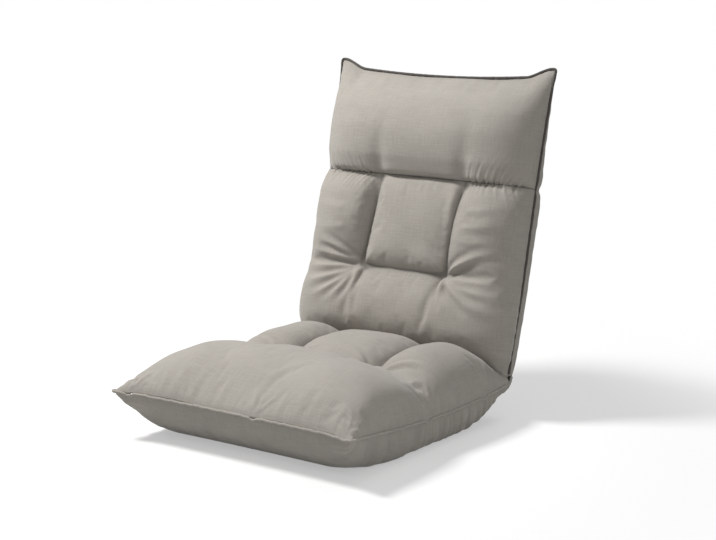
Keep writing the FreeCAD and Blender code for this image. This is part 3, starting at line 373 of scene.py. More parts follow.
def rim_of(rows: int, columns: int) -> Array:
    """Point numbers round the edge of a grid, in the order of its first row.

    Args:
        rows: number of rows.
        columns: number of columns.

    Returns:
        The point numbers, each once.
    """
    first = np.arange(columns)
    right = np.arange(1, rows) * columns + columns - 1
    last = (rows - 1) * columns + np.arange(columns - 2, -1, -1)
    left = np.arange(rows - 2, 0, -1) * columns
    return np.concatenate([first, right, last, left])


def cushion_surface(grid: Array, cloth: Array, shade: Array, heart: Array) -> Surface:
    """Closes a cover with a lining: rings that shrink from the cover's edge towards one point.

    Args:
        grid: the cover's points, rows by columns by 3.
        cloth: the cloth's own coordinates at those points.
        shade: the painted shade at each point, the share by which its colour is darkened.
        heart: the point inside the cushion where the lining meets.

    Returns:
        A closed surface.
    """
    rows, columns = grid.shape[:2]
    rim = rim_of(rows, columns)
    edge = grid.reshape(-1, 3)[rim]
    hem = edge + (heart - edge) * 0.02
    shares = np.array([0.9, 0.6, 0.25])[:, None, None]
    rings = np.concatenate([hem[None], heart + (edge - heart) * shares])
    count, base, lined = len(rim), rows * columns, len(rings) * len(rim)
    numbers = np.concatenate([rim[None], base + np.arange(lined).reshape(-1, count)])
    here, after = numbers[:-1], numbers[1:]
    lining = np.stack(
        [here, after, np.roll(after, -1, axis=1), np.roll(here, -1, axis=1)], axis=-1
    ).reshape(-1, 4)
    last = numbers[-1]
    fan = np.stack([np.roll(last, -1), last, np.full(count, base + lined)], axis=-1)
    points = np.concatenate([grid.reshape(-1, 3), rings.reshape(-1, 3), heart[None]])
    edge_cloth = cloth.reshape(-1, 2)[rim]
    inner_cloth = np.concatenate([np.tile(edge_cloth, (len(rings), 1)), edge_cloth[:1]])
    return Surface(
        points,
        np.concatenate([grid_quads(rows, columns), lining]),
        fan,
        np.concatenate([cloth.reshape(-1, 2), inner_cloth]),
        np.concatenate([shade.ravel(), np.zeros(lined + 1)]),
    )


def shell_surface(grid: Array, cloth: Array, thickness: float) -> Surface:
    """A sheet with thickness: the grid, the same grid moved inwards, and a wall round the edge.

    Args:
        grid: the outer points, rows by columns by 3.
        cloth: the cloth's own coordinates at those points.
        thickness: the sheet's thickness.

    Returns:
        A closed surface.
    """
    rows, columns = grid.shape[:2]
    count = rows * columns
    inner = grid - normals_of(grid) * thickness
    outside = grid_quads(rows, columns)
    rim = rim_of(rows, columns)
    after = np.roll(rim, -1)
    wall = np.stack([rim, rim + count, after + count, after], axis=-1)
    return Surface(
        np.concatenate([grid.reshape(-1, 3), inner.reshape(-1, 3)]),
        np.concatenate([outside, outside[:, ::-1] + count, wall]),
        np.zeros((0, 3), int),
        np.tile(cloth.reshape(-1, 2), (2, 1)),
        np.zeros(count * 2),
    )


def cord_surface(path: Array, radius: Array, section: SectionFrame, sides: int = 12) -> Surface:
    """A round cord: circles across a path, and a blunt point at each end.

    Args:
        path: points along the middle of the cord, in a section's frame.
        radius: the cord's radius at each point.
        section: that section. The path never runs straight up from its frame plane.
        sides: points round the cord.

    Returns:
        A closed surface in the chair's frame.
    """
    tangent = np.gradient(path, axis=0)
    tangent /= np.linalg.norm(tangent, axis=1, keepdims=True)
    outward = np.cross(tangent, np.array([0.0, 0.0, 1.0]))
    outward /= np.linalg.norm(outward, axis=1, keepdims=True)
    upward = np.cross(outward, tangent)
    turn = np.arange(sides) * 2 * math.pi / sides
    ring = (
        outward[:, None] * np.cos(turn)[None, :, None]
        + upward[:, None] * np.sin(turn)[None, :, None]
    )
    grid = path[:, None] + ring * radius[:, None, None]
    count = len(path)
    blunt = 0.6
    first = path[0] - tangent[0] * radius[0] * blunt
    last = path[-1] + tangent[-1] * radius[-1] * blunt
    start, stop = count * sides, count * sides + 1
    j = np.arange(sides)
    k = (j + 1) % sides
    row = (count - 1) * sides
    caps = np.concatenate(
        [
            np.stack([np.full(sides, start), k, j], axis=-1),
            np.stack([np.full(sides, stop), row + j, row + k], axis=-1),
        ]
    )
    length = np.concatenate(([0.0], np.cumsum(np.linalg.norm(np.diff(path, axis=0), axis=1))))
    cloth = np.stack(
        np.broadcast_arrays(length[:, None], turn[None] * radius.mean()), axis=-1
    ).reshape(-1, 2)
    return Surface(
        section.to_world(np.concatenate([grid.reshape(-1, 3), np.array([first, last])])),
        grid_quads(count, sides, wrap=True)[:, ::-1],
        caps[:, ::-1],
        np.concatenate([cloth, [[0.0, 0.0], [length[-1], 0.0]]]),
        np.zeros(count * sides + 2),
    )


def joined(*surfaces: Surface) -> Surface:
    """Several surfaces as one piece.

    Args:
        surfaces: the surfaces.

    Returns:
        All their points and faces in one surface.
    """
    starts = np.cumsum([0] + [len(s.points) for s in surfaces[:-1]])
    return Surface(
        np.concatenate([s.points for s in surfaces]),
        np.concatenate([s.quads + n for s, n in zip(surfaces, starts)]),
        np.concatenate([s.triangles + n for s, n in zip(surfaces, starts)]),
        np.concatenate([s.cloth for s in surfaces]),
        np.concatenate([s.shade for s in surfaces]),
    )


# Finishes


class Slot(Enum):
    """The material slots."""

    CLOTH = "cushion_fabric"
    PIPING = "piping_cord"
    GRIP = "grip_cloth"
    FOAM = "foam"
    ELASTIC = "elastic"
    PAINT = "frame_paint"
    HINGE = "hinge_steel"
    RIVET = "rivet_steel"
    SPRING = "spring_steel"
    ZIP_TAPE = "zip_tape"
    ZIP_METAL = "zip_metal"


Colour = tuple[float, float, float]


class NodeBench:
    """A material's node tree, with short calls for the nodes that the finishes share."""

    def __init__(self, name: str) -> None:
        """Makes the material with its shader.

        Args:
            name: the material's name.
        """
        self.material = bpy.data.materials.new(name)
        self.material.use_nodes = True
        self.tree = self.material.node_tree
        self.shader = self.tree.nodes["Principled BSDF"]

    def set(self, **values: float) -> None:
        """Sets the shader's own sockets.

        Args:
            values: socket names in lower case with underscores, and their values.
        """
        for key, value in values.items():
            socket = key.replace("_", " ").title().replace("Ior", "IOR")
            self.shader.inputs[socket].default_value = value

    def link(self, source: bpy.types.NodeSocket, target: bpy.types.NodeSocket) -> None:
        """Joins two sockets."""
        self.tree.links.new(source, target)

    def node(self, kind: str, **properties: object) -> bpy.types.Node:
        """Adds a node.

        Args:
            kind: the node's type, without its prefix.
            properties: its settings.

        Returns:
            The node.
        """
        made = self.tree.nodes.new(f"ShaderNode{kind}")
        for key, value in properties.items():
            setattr(made, key, value)
        return made

    def place(self, source: str, scale: tuple[float, float, float]) -> bpy.types.NodeSocket:
        """Coordinates for a pattern, in metres times a scale.

        Args:
            source: "UV" for the cloth's own coordinates, or "Object".
            scale: how many pattern lengths fit in a metre, in each direction.

        Returns:
            The vector socket.
        """
        if source == "UV":
            start = self.node("UVMap", uv_map="cloth").outputs["UV"]
        else:
            start = self.node("TexCoord").outputs["Object"]
        mapping = self.node("Mapping")
        mapping.inputs["Scale"].default_value = scale
        self.link(start, mapping.inputs["Vector"])
        return mapping.outputs["Vector"]

    def noise(self, place: bpy.types.NodeSocket, detail: float) -> bpy.types.NodeSocket:
        """Smooth noise from 0 to 1.

        Args:
            place: the coordinates.
            detail: how many finer layers it has.

        Returns:
            The value socket.
        """
        made = self.node("TexNoise")
        made.inputs["Scale"].default_value = 1.0
        made.inputs["Detail"].default_value = detail
        self.link(place, made.inputs["Vector"])
        return made.outputs["Fac"]

    def cells(self, place: bpy.types.NodeSocket, randomness: float) -> bpy.types.NodeSocket:
        """Distance from the nearest of many points.

        Args:
            place: the coordinates.
            randomness: 0 for points on a square grid, 1 for scattered ones.

        Returns:
            The distance's socket.
        """
        made = self.node("TexVoronoi")
        made.inputs["Scale"].default_value = 1.0
        made.inputs["Randomness"].default_value = randomness
        self.link(place, made.inputs["Vector"])
        return made.outputs["Distance"]

    def axes(self, place: bpy.types.NodeSocket) -> bpy.types.bpy_prop_collection:
        """Coordinates taken apart.

        Args:
            place: the coordinates.

        Returns:
            Sockets named X, Y and Z.
        """
        parts = self.node("SeparateXYZ")
        self.link(place, parts.inputs[0])
        return parts.outputs

    def math(self, kind: str, a: object, b: object = 0.0) -> bpy.types.NodeSocket:
        """A math node.

        Args:
            kind: the operation.
            a: a number or a socket.
            b: a number or a socket.

        Returns:
            The result's socket.
        """
        made = self.node("Math", operation=kind)
        for socket, value in zip(made.inputs, (a, b)):
            if isinstance(value, (int, float)):
                socket.default_value = value
            else:
                self.link(value, socket)
        return made.outputs[0]

    def spread(
        self, value: bpy.types.NodeSocket, low: float, high: float
    ) -> bpy.types.NodeSocket:
        """Maps 0 to 1 onto low to high."""
        return self.math("ADD", self.math("MULTIPLY", value, high - low), low)

    def weave(self, scale: float) -> bpy.types.NodeSocket:
        """Plain weave: threads go over and under each other, (1 + sin u sin v) / 2.

        Args:
            scale: threads in a metre.

        Returns:
            A height from 0 to 1.
        """
        threads = self.axes(self.place("UV", (scale * math.pi, scale * math.pi, 1.0)))
        u = self.math("SINE", threads["X"])
        v = self.math("SINE", threads["Y"])
        return self.spread(self.math("MULTIPLY", u, v), 0.5, 1.0)

    def paint(self, base: Colour, value: bpy.types.NodeSocket) -> None:
        """Gives the shader a colour multiplied by a value.

        Args:
            base: the colour.
            value: about 1.
        """
        scaled = self.node("VectorMath", operation="SCALE")
        scaled.inputs[0].default_value = base
        self.link(value, scaled.inputs["Scale"])
        self.link(scaled.outputs["Vector"], self.shader.inputs["Base Color"])

    def bump(self, height: bpy.types.NodeSocket, distance: float) -> None:
        """Puts a height on the shader's normal, over any bump that is there already.

        Args:
            height: the height's socket.
            distance: metres that a height of 1 stands out.
        """
        made = self.node("Bump")
        made.inputs["Strength"].default_value = 1.0
        made.inputs["Distance"].default_value = distance
        self.link(height, made.inputs["Height"])
        target = self.shader.inputs["Normal"]
        if target.is_linked:
            self.link(target.links[0].from_socket, made.inputs["Normal"])
        self.link(made.outputs["Normal"], target)


@dataclass(frozen=True)
class Finish:
    """A finish of the real object, with its name and base colour."""

    name: str
    colour: Colour

    def material(self) -> bpy.types.Material:
        """The finish as a material.

        Returns:
            The material.
        """
        bench = NodeBench(self.name)
        self.lay(bench)
        return bench.material

    def lay(self, bench: NodeBench) -> None:
        """Lays the finish's nodes."""
        raise NotImplementedError(bench.material.name)


@dataclass(frozen=True)
class WovenCloth(Finish):
    """Matt woven cloth with slubs, a soft sheen, and painted shade and highlight in its folds."""

    threads: float = 1100.0
    sheen: float = 0.25
    streak: float = 0.30
    relief: float = 0.00012

    def lay(self, bench: NodeBench) -> None:
        """Lays the cloth: its colour is the base times slub streaks along both threads, mottling
        and the fold shade, and its bump is the weave and the slubs.

        Args:
            bench: the material's nodes.
        """
        bench.set(roughness=0.92, sheen_weight=self.sheen, sheen_roughness=0.45)
        bench.set(specular_ior_level=0.25)
        along = bench.noise(bench.place("UV", (26.0, 430.0, 1.0)), 4.0)
        across = bench.noise(bench.place("UV", (460.0, 30.0, 1.0)), 4.0)
        mottle = bench.noise(bench.place("Object", (14.0, 14.0, 14.0)), 4.0)
        # fold_shade is painted shade in channels, seams and fold hollows, and a painted highlight
        # on fold ridges
        fold = bench.node("Attribute", attribute_name="fold_shade").outputs["Fac"]
        slub = bench.math("ADD", along, across)
        value = bench.spread(slub, 1.0 - self.streak, 1.0)
        value = bench.math("MULTIPLY", value, bench.spread(mottle, 0.94, 1.06))
        value = bench.math("MULTIPLY", value, bench.math("SUBTRACT", 1.0, fold))
        bench.paint(self.colour, value)
        bench.bump(bench.weave(self.threads), self.relief)
        bench.bump(slub, self.relief * 2.5)


@dataclass(frozen=True)
class TwistedCord(Finish):
    """A corded edge covered in cloth cut on the bias, so that its weave runs round in a spiral."""

    threads: float = 900.0

    def lay(self, bench: NodeBench) -> None:
        """Lays a diagonal weave, with worn lighter places along it.

        Args:
            bench: the material's nodes.
        """
        bench.set(roughness=0.85, sheen_weight=0.2, sheen_roughness=0.5, specular_ior_level=0.3)
        tone_shift = bench.noise(bench.place("UV", (60.0, 60.0, 1.0)), 3.0)
        bench.paint(self.colour, bench.spread(tone_shift, 0.7, 1.35))
        threads = bench.axes(bench.place("UV", (self.threads, self.threads, 1.0)))
        diagonal = bench.math("SINE", bench.math("ADD", threads["X"], threads["Y"]))
        bench.bump(diagonal, 0.00015)


@dataclass(frozen=True)
class DottedGrip(Finish):
    """Black non-slip cloth with small rubber dots."""

    dots: float = 170.0

    def lay(self, bench: NodeBench) -> None:
        """Lays round dots that stand out of a fine felt.

        Args:
            bench: the material's nodes.
        """
        bench.set(specular_ior_level=0.4)
        distance = bench.cells(bench.place("Object", (self.dots, self.dots, 1.0)), 0.0)
        dot = bench.math("LESS_THAN", distance, 0.3)
        felt = bench.noise(bench.place("Object", (900.0, 900.0, 900.0)), 2.0)
        value = bench.math("ADD", bench.spread(felt, 0.7, 1.1), bench.math("MULTIPLY", dot, 0.8))
        bench.paint(self.colour, value)
        bench.link(bench.spread(dot, 0.95, 0.55), bench.shader.inputs["Roughness"])
        bench.bump(bench.math("ADD", dot, bench.math("MULTIPLY", felt, 0.3)), 0.0005)


@dataclass(frozen=True)
class OpenFoam(Finish):
    """Cut polyurethane foam with small open cells."""

    def lay(self, bench: NodeBench) -> None:
        """Lays cells of about 2 mm, with painted shade that makes them a little darker inside.

        Args:
            bench: the material's nodes.
        """
        bench.set(roughness=0.95)
        distance = bench.cells(bench.place("Object", (520.0, 520.0, 520.0)), 1.0)
        # Painted shade: the colour follows the cells' bump and is darkest where each cell sinks
        # deepest
        bench.paint(self.colour, bench.spread(distance, 0.75, 1.1))
        bench.bump(distance, 0.0008)


@dataclass(frozen=True)
class Elastic(Finish):
    """Ribbed elastic webbing."""

    def lay(self, bench: NodeBench) -> None:
        """Lays ribs 1.5 mm apart, which run across the chair, with painted shade between them.

        Args:
            bench: the material's nodes.
        """
        bench.set(roughness=0.8, sheen_weight=0.1)
        ribs = bench.axes(bench.place("Object", (1.0, 4200.0, 4200.0)))
        rib = bench.math("SINE", bench.math("ADD", ribs["Y"], ribs["Z"]))
        grain = bench.noise(bench.place("Object", (300.0, 40.0, 40.0)), 2.0)
        # Painted shade: the rib term darkens the grooves between ribs, as the bump does; the grain
        # is the webbing's own uneven tone
        value = bench.math("MULTIPLY", bench.spread(rib, 0.95, 1.02), bench.spread(grain, 0.9, 1.1))
        bench.paint(self.colour, value)
        bench.bump(rib, 0.0002)


@dataclass(frozen=True)
class Steel(Finish):
    """Steel: painted, plated or bare, with fine drawing marks and small scuffs."""

    metallic: float
    roughness: float
    coat: float = 0.0
    marks: float = 0.00004

    def lay(self, bench: NodeBench) -> None:
        """Lays cloudy roughness and colour, and drawing marks as bump.

        Args:
            bench: the material's nodes.
        """
        bench.set(metallic=self.metallic, coat_weight=self.coat, coat_roughness=0.2)
        cloud = bench.noise(bench.place("Object", (35.0, 35.0, 35.0)), 4.0)
        marks = bench.noise(bench.place("Object", (40.0, 900.0, 900.0)), 3.0)
        bench.paint(self.colour, bench.spread(cloud, 0.85, 1.12))
        low, high = self.roughness * 0.8, self.roughness * 1.25
        bench.link(bench.spread(cloud, low, high), bench.shader.inputs["Roughness"])
        bench.bump(marks, self.marks)


Finishes = dict[Slot, bpy.types.Material]

FINISH_OF = {
    Slot.CLOTH: WovenCloth("warm_grey_cloth", (0.350, 0.325, 0.290)),
    Slot.PIPING: TwistedCord("charcoal_cord", (0.075, 0.066, 0.060)),
    Slot.FOAM: OpenFoam("cut_foam", (0.80, 0.74, 0.52)),
    Slot.ELASTIC: Elastic("ribbed_elastic", (0.03, 0.03, 0.035)),
    Slot.PAINT: Steel("black_frame_paint", (0.02, 0.02, 0.022), 0.0, 0.42, 0.3),
    Slot.HINGE: Steel("hinge_zinc_plate", (0.62, 0.62, 0.60), 1.0, 0.32),
    Slot.RIVET: Steel("rivet_zinc_plate", (0.68, 0.67, 0.64), 1.0, 0.26),
    Slot.SPRING: Steel("tempered_spring", (0.32, 0.33, 0.38), 1.0, 0.3),
    Slot.GRIP: DottedGrip("dotted_grip_cloth", (0.03, 0.03, 0.032)),
    Slot.ZIP_TAPE: WovenCloth("zip_tape_cloth", (0.36, 0.34, 0.315), threads=1500.0, sheen=0.1),
    Slot.ZIP_METAL: Steel("zip_nickel", (0.55, 0.53, 0.50), 1.0, 0.28),
}


def dress(piece: bpy.types.Object, finishes: Finishes, slot: Slot) -> None:
    """Gives a new piece its finish and logs its slot.

    Args:
        piece: the piece.
        finishes: a material for each slot.
        slot: the piece's slot.
    """
    piece.data.materials.clear()
    piece.data.materials.append(finishes[slot])
    log.info("%s: %d faces, %s", piece.name, len(piece.data.polygons), slot.value)


# Covers


@dataclass(frozen=True)
class Plan:
    """The outline of a section from above: where its sewn edge runs."""

    half: float
    flare: float
    dip: float
    open_y: float
    ear_y: float

    def width(self, y: Array) -> Array:
        """Half the width at y: straight at the hinge, and flared towards the ears.

        Args:
            y: places along the section.

        Returns:
            Half the width there.
        """
        part = np.clip((y - self.open_y) / (self.ear_y - self.open_y), 0.0, 1.0)
        return self.half + self.flare * (0.25 * part**3 + 0.75 * part**7)

    def end(self, x: Array) -> Array:
        """How far the edge between the ears is drawn in: dip * (0.52 r + 0.48 (1 - share^2)).

        Here r rises from 0 to 1 between 8 and 65 mm from the ear, and share is the place as a share
        of half the width.

        Args:
            x: places across the section.

        Returns:
            The distance from the line through both ears.
        """
        tip = self.half + self.flare
        share = np.clip(np.abs(x) / tip, 0.0, 1.0)
        near = smoothstep(0.008, 0.065, (1.0 - share) * tip)
        return self.dip * (0.52 * near + 0.48 * (1.0 - share**2))


@dataclass(frozen=True)
class Flank:
    """How a filled cover falls to its sewn edge: (1 - t^power)^round, t from start to the edge."""

    start: float
    power: float
    round: float

    def height(self, share: Array) -> Array:
        """The height as a share of the crown's.

        Args:
            share: distance from the middle as a share of half the width.

        Returns:
            1 in the middle, 0 at the edge.
        """
        t = np.clip((np.abs(share) - self.start) / (1.0 - self.start), 0.0, 1.0)
        return (1.0 - t**self.power) ** self.round

    def stations(self, count: int, width: float, height: float) -> Array:
        """Shares of the half width at equal distances over the cover, from -1 to 1.

        Args:
            count: how many on each side of the middle.
            width: half the width.
            height: the crown above the edge.

        Returns:
            2 * count + 1 shares.
        """
        fine = 1.0 - (1.0 - np.linspace(0.0, 1.0, 4001)) ** 3
        curve = np.stack([fine * width, self.height(fine) * height], axis=-1)
        parameter = even_steps(curve, count + 1)
        share = 1.0 - (1.0 - parameter) ** 3
        return np.concatenate([-share[:0:-1], share])


def cloth_coordinates(grid: Array) -> Array:
    """The cloth's own coordinates in metres: distances over the surface along its two directions.

    Args:
        grid: points, rows by columns by 3.

    Returns:
        Two coordinates at each point.
    """
    across = np.linalg.norm(np.diff(grid, axis=1), axis=-1)
    along = np.linalg.norm(np.diff(grid, axis=0), axis=-1)
    u = np.concatenate([np.zeros((len(grid), 1)), np.cumsum(across, axis=1)], axis=1)
    v = np.concatenate([np.zeros((1, grid.shape[1])), np.cumsum(along, axis=0)], axis=0)
    u = u - u[:, grid.shape[1] // 2][:, None]
    v = np.broadcast_to(v.mean(axis=1)[:, None], v.shape)
    return np.stack([u, v], axis=-1)


def fold_shade(relief: Array, grooves: Array) -> Array:
    """Painted shade in channels and fold hollows, and a painted highlight on fold ridges.

    It is channel g^2 + thread g^8 - tone_shift * relief; g is how deep in a channel a place is.

    Args:
        relief: how far the cloth stands out in folds, in metres.
        grooves: 0 to 1, how deep in a channel.

    Returns:
        The share by which the colour is darkened.
    """
    # Painted light: the first two numbers scale painted shade in channels; the third paints shade
    # in fold hollows and a highlight on fold ridges
    channel, thread, tone_shift = 0.16, 0.30, 22.0
    return np.clip(channel * grooves**2 + thread * grooves**8 - tone_shift * relief, -0.06, 0.42)


def tucked(y: Array, z: Array, sign: float) -> tuple[Array, Array]:
    """Keeps a cover on its own side of the crease between seat and back.

    Seen from the hinge, a point's angle above its section is limited softly to the crease angle:
    limit - k log(1 + exp((limit - angle) / k)), less a hair. This ends 15 to 20 cm from the hinge.

    Args:
        y: places along the section, away from the hinge in the direction of sign.
        z: heights.
        sign: -1 on the seat, 1 on the back.

    Returns:
        The new places and heights.
    """
    radius = np.hypot(y, z)
    angle = np.arctan2(z, y * sign)
    ease, hair = math.radians(4.0), math.radians(0.15)
    room = (CREASE_ANGLE - angle) / ease
    kept = CREASE_ANGLE - ease * np.logaddexp(0.0, room) - hair
    near = smoothstep(0.20, 0.15, radius)
    angle = angle + (kept - angle) * near
    return radius * np.cos(angle) * sign, radius * np.sin(angle)


@dataclass(frozen=True)
class Filling:
    """The wadding in a cover: it presses the cloth out between its seams, and the cloth creases."""

    pressure: float = 4.0
    slack: float = 0.008
    bending: float = 1.5
    cap: float = 0.007
    frames: int = 20

    def swollen(self, grid: Array, held: Array) -> Array:
        """Lets Blender's cloth settle on every second row and column of a cover.

        A point's move m is kept under the cap as cap * tanh(|m| / cap), the rows and columns left
        out take the mean of their neighbours, and one (1, 2, 1) / 4 pass smooths the moves.

        Args:
            grid: the cover's points, an odd number of rows by an odd number of columns by 3.
            held: 0 to 1, how firmly each point is sewn down.

        Returns:
            The cover's points after the cloth has settled.
        """
        coarse = grid[::2, ::2]
        shape = coarse.shape
        none = np.zeros((0, 3), int)
        flat = np.zeros((shape[0] * shape[1], 2))
        cloth = Surface(coarse.reshape(-1, 3), grid_quads(*shape[:2]), none, flat, flat[:, 0])
        piece = cloth.mesh("settling_cloth")
        self.sew(piece, held[::2, ::2].ravel())
        self.press(piece)
        scene = bpy.context.scene
        for step in range(1, self.frames + 1):
            scene.frame_set(step)
        settled = piece.evaluated_get(bpy.context.evaluated_depsgraph_get())
        found = np.empty(coarse.size, np.float32)
        settled.data.vertices.foreach_get("co", found)
        bpy.data.objects.remove(piece)
        scene.frame_set(1)
        move = found.reshape(shape) - coarse
        size = np.linalg.norm(move, axis=-1, keepdims=True)
        move = move * self.cap * np.tanh(size / self.cap) / np.maximum(size, 1e-9)
        log.info("settled %d points, the furthest by %.1f mm", size.size, 1000 * size.max())
        return grid + self.between(move, grid.shape)

    def sew(self, piece: bpy.types.Object, held: Array) -> None:
        """Puts the sewn-down points in a vertex group, in ten grades.

        Args:
            piece: the cloth.
            held: 0 to 1, how firmly each point is sewn down.
        """
        grades = 10
        group = piece.vertex_groups.new(name="sewn")
        grade = np.round(np.clip(held, 0.0, 1.0) * grades).astype(int)
        for level in range(1, grades + 1):
            group.add(np.flatnonzero(grade == level).tolist(), level / grades, "REPLACE")

    def press(self, piece: bpy.types.Object) -> None:
        """Adds the cloth simulation, pressed from inside and free of gravity.

        Args:
            piece: the cloth.
        """
        modifier = piece.modifiers.new("wadding", "CLOTH")
        modifier.point_cache.frame_start = 1
        modifier.point_cache.frame_end = self.frames
        settings = modifier.settings
        settings.quality = 5
        settings.mass = 0.25
        settings.tension_stiffness = 18.0
        settings.compression_stiffness = 12.0
        settings.shear_stiffness = 6.0
        settings.bending_stiffness = self.bending
        settings.air_damping = 2.0
        settings.use_pressure = True
        settings.uniform_pressure_force = self.pressure
        settings.shrink_min = -self.slack
        settings.vertex_group_mass = "sewn"
        settings.effector_weights.gravity = 0.0
        modifier.collision_settings.use_collision = False
        modifier.collision_settings.use_self_collision = False

    def between(self, move: Array, shape: tuple[int, ...]) -> Array:
        """Spreads the moves over all rows and columns, and smooths them once.

        Args:
            move: moves of every second row and column.
            shape: the full grid's shape.

        Returns:
            A move for each point of the full grid.
        """
        full = np.zeros(shape)
        full[::2, ::2] = move
        full[1::2, ::2] = (move[:-1] + move[1:]) / 2
        full[:, 1::2] = (full[:, :-1:2] + full[:, 2::2]) / 2
        smooth = full.copy()
        smooth[1:-1] = (full[:-2] + 2 * full[1:-1] + full[2:]) / 4
        again = smooth.copy()
        again[:, 1:-1] = (smooth[:, :-2] + 2 * smooth[:, 1:-1] + smooth[:, 2:]) / 4
        return again


def rows_along(low: float, high: float, line: Profile, count: int) -> Array:
    """Places along a section that divide a cover's profile into equal lengths.

    Args:
        low: where the cover starts.
        high: where it ends.
        line: the profile.
        count: number of rows.

    Returns:
        The rows' places.
    """
    fine = np.linspace(0.0, 1.0, 2001)
    whole = low + fine * (high - low)
    curve = np.stack([whole, line(whole)], axis=-1)
    return np.interp(even_steps(curve, count), fine, whole)


def lumpiness(x: Array, y: Array, swell: Array, height: float, length: float, seed: int) -> Array:
    """Lumps in the wadding, which fade towards the sewn edge.

    Args:
        x: places across the section.
        y: places along the section.
        swell: 0 at the sewn edge to 1 on the crown.
        height: how high they stand.
        length: mean length of a lump.
        seed: chooses their pattern.

    Returns:
        The height of the lumps.
    """
    return height * unevenness(x, y, length, seed) * smoothstep(0.0, 0.5, swell)


def quilt_height(top: Array, edge: Array, swell: Array, depth: Array) -> Array:
    """A quilted cover's height: edge + (top - edge) F - depth sqrt(F), where F is the swell.

    Args:
        top: height of the crown.
        edge: height of the sewn edge.
        swell: 0 at the sewn edge to 1 on the crown.
        depth: depth of the channels.

    Returns:
        The heights.
    """
    return edge + (top - edge) * swell - depth * swell**0.5


def bulged(x: Array, share: Array, swell: Array, bulge: float, *parts: Array) -> Array:
    """Moves a flank outwards by bulge * 4 F (1 - F), where F is the swell, times further parts.

    Args:
        x: places across the section.
        share: the same as a share of half the width.
        swell: 0 at the sewn edge to 1 on the crown.
        bulge: the furthest move.
        parts: shares of the move, along the section.

    Returns:
        The new places across.
    """
    move = np.sign(share) * bulge * 4 * swell * (1 - swell)
    for part in parts:
        move = move * part
    return x + move


def sewn_down(swell: Array, channels: Array) -> Array:
    """Where a quilted cover is held: near its sewn edge and in its channels, from 0 to 1."""
    return np.maximum(smoothstep(0.22, 0.06, swell), smoothstep(0.45, 0.85, channels))


def near_edge(swell: Array) -> Array:
    """Where wrinkles run in from the sewn edge: exp(-F / 0.3) - 0.035, where F is the swell."""
    return (np.exp(-swell / 0.3) - 0.035) * smoothstep(0.0, 0.12, swell)


def raised(x: Array, y: Array, height: Array, relief: Array) -> Array:
    """A cover's points, with its folds standing out along its normals."""
    grid = np.stack([x, y, height], axis=-1)
    return grid + normals_of(grid) * relief[..., None]


def smoothed(line: Array, passes: int) -> Array:
    """Rounds a line: each pass takes (1, 2, 1) / 4 of a point and its neighbours.

    Args:
        line: points along the line.
        passes: number of passes.

    Returns:
        The same points, moved.
    """
    for _ in range(passes):
        line[1:-1] = (line[:-2] + 2 * line[1:-1] + line[2:]) / 4
    return line


def evenly(path: Array, count: int) -> Array:
    """A path through points at equal distances.

    Args:
        path: points along the path.
        count: how many points to give.

    Returns:
        The new points.
    """
    even = even_steps(path, count)
    given = np.linspace(0, 1, len(path))
    return np.stack([np.interp(even, given, path[:, k]) for k in range(3)], axis=-1)


@dataclass(frozen=True)
class Lap:
    """Stations round the far side of a cushion, from its right sewn edge to its left one.

    Each side is a quarter of an ellipse: inset runs as 1 - cos a, depth as sin a and bulge as
    sin 2a. The straight run between them has flat rising from 0 to 1 at the middle.
    """

    inset: Array
    depth: Array
    bulge: Array
    flat: Array
    sign: Array


def lap_round(corner: int, middle: int) -> Lap:
    """Works out the stations of a lap.

    Args:
        corner: stations on each side.
        middle: stations from there to the middle.

    Returns:
        The lap.
    """
    turn = np.linspace(0.0, math.pi / 2, corner)
    halves = (
        np.concatenate([1 - np.cos(turn), np.ones(middle)]),
        np.concatenate([np.sin(turn), np.ones(middle)]),
        np.concatenate([np.sin(2 * turn), np.zeros(middle)]),
        np.concatenate([np.zeros(corner), np.linspace(0.0, 1.0, middle + 1)[1:]]),
    )
    inset, depth, bulge, flat = (np.concatenate([half, half[-2::-1]]) for half in halves)
    sign = np.concatenate([np.ones(corner + middle), -np.ones(corner + middle - 1)])
    return Lap(inset, depth, bulge, flat, sign)


def cover(
    name: str, section: SectionFrame, grid: Array, shade: Array, heart: tuple[float, float, float]
) -> bpy.types.Object:
    """Makes a cover a closed piece.

    Args:
        name: the piece's name.
        section: the section that its points are drawn in.
        grid: its points.
        shade: the painted shade at each point, the share by which its colour is darkened.
        heart: the point inside the cushion where its lining meets, in the same section.

    Returns:
        The piece.
    """
    world = section.to_world(grid)
    middle = section.to_world(np.array(heart))
    return cushion_surface(world, cloth_coordinates(world), shade, middle).mesh(name)


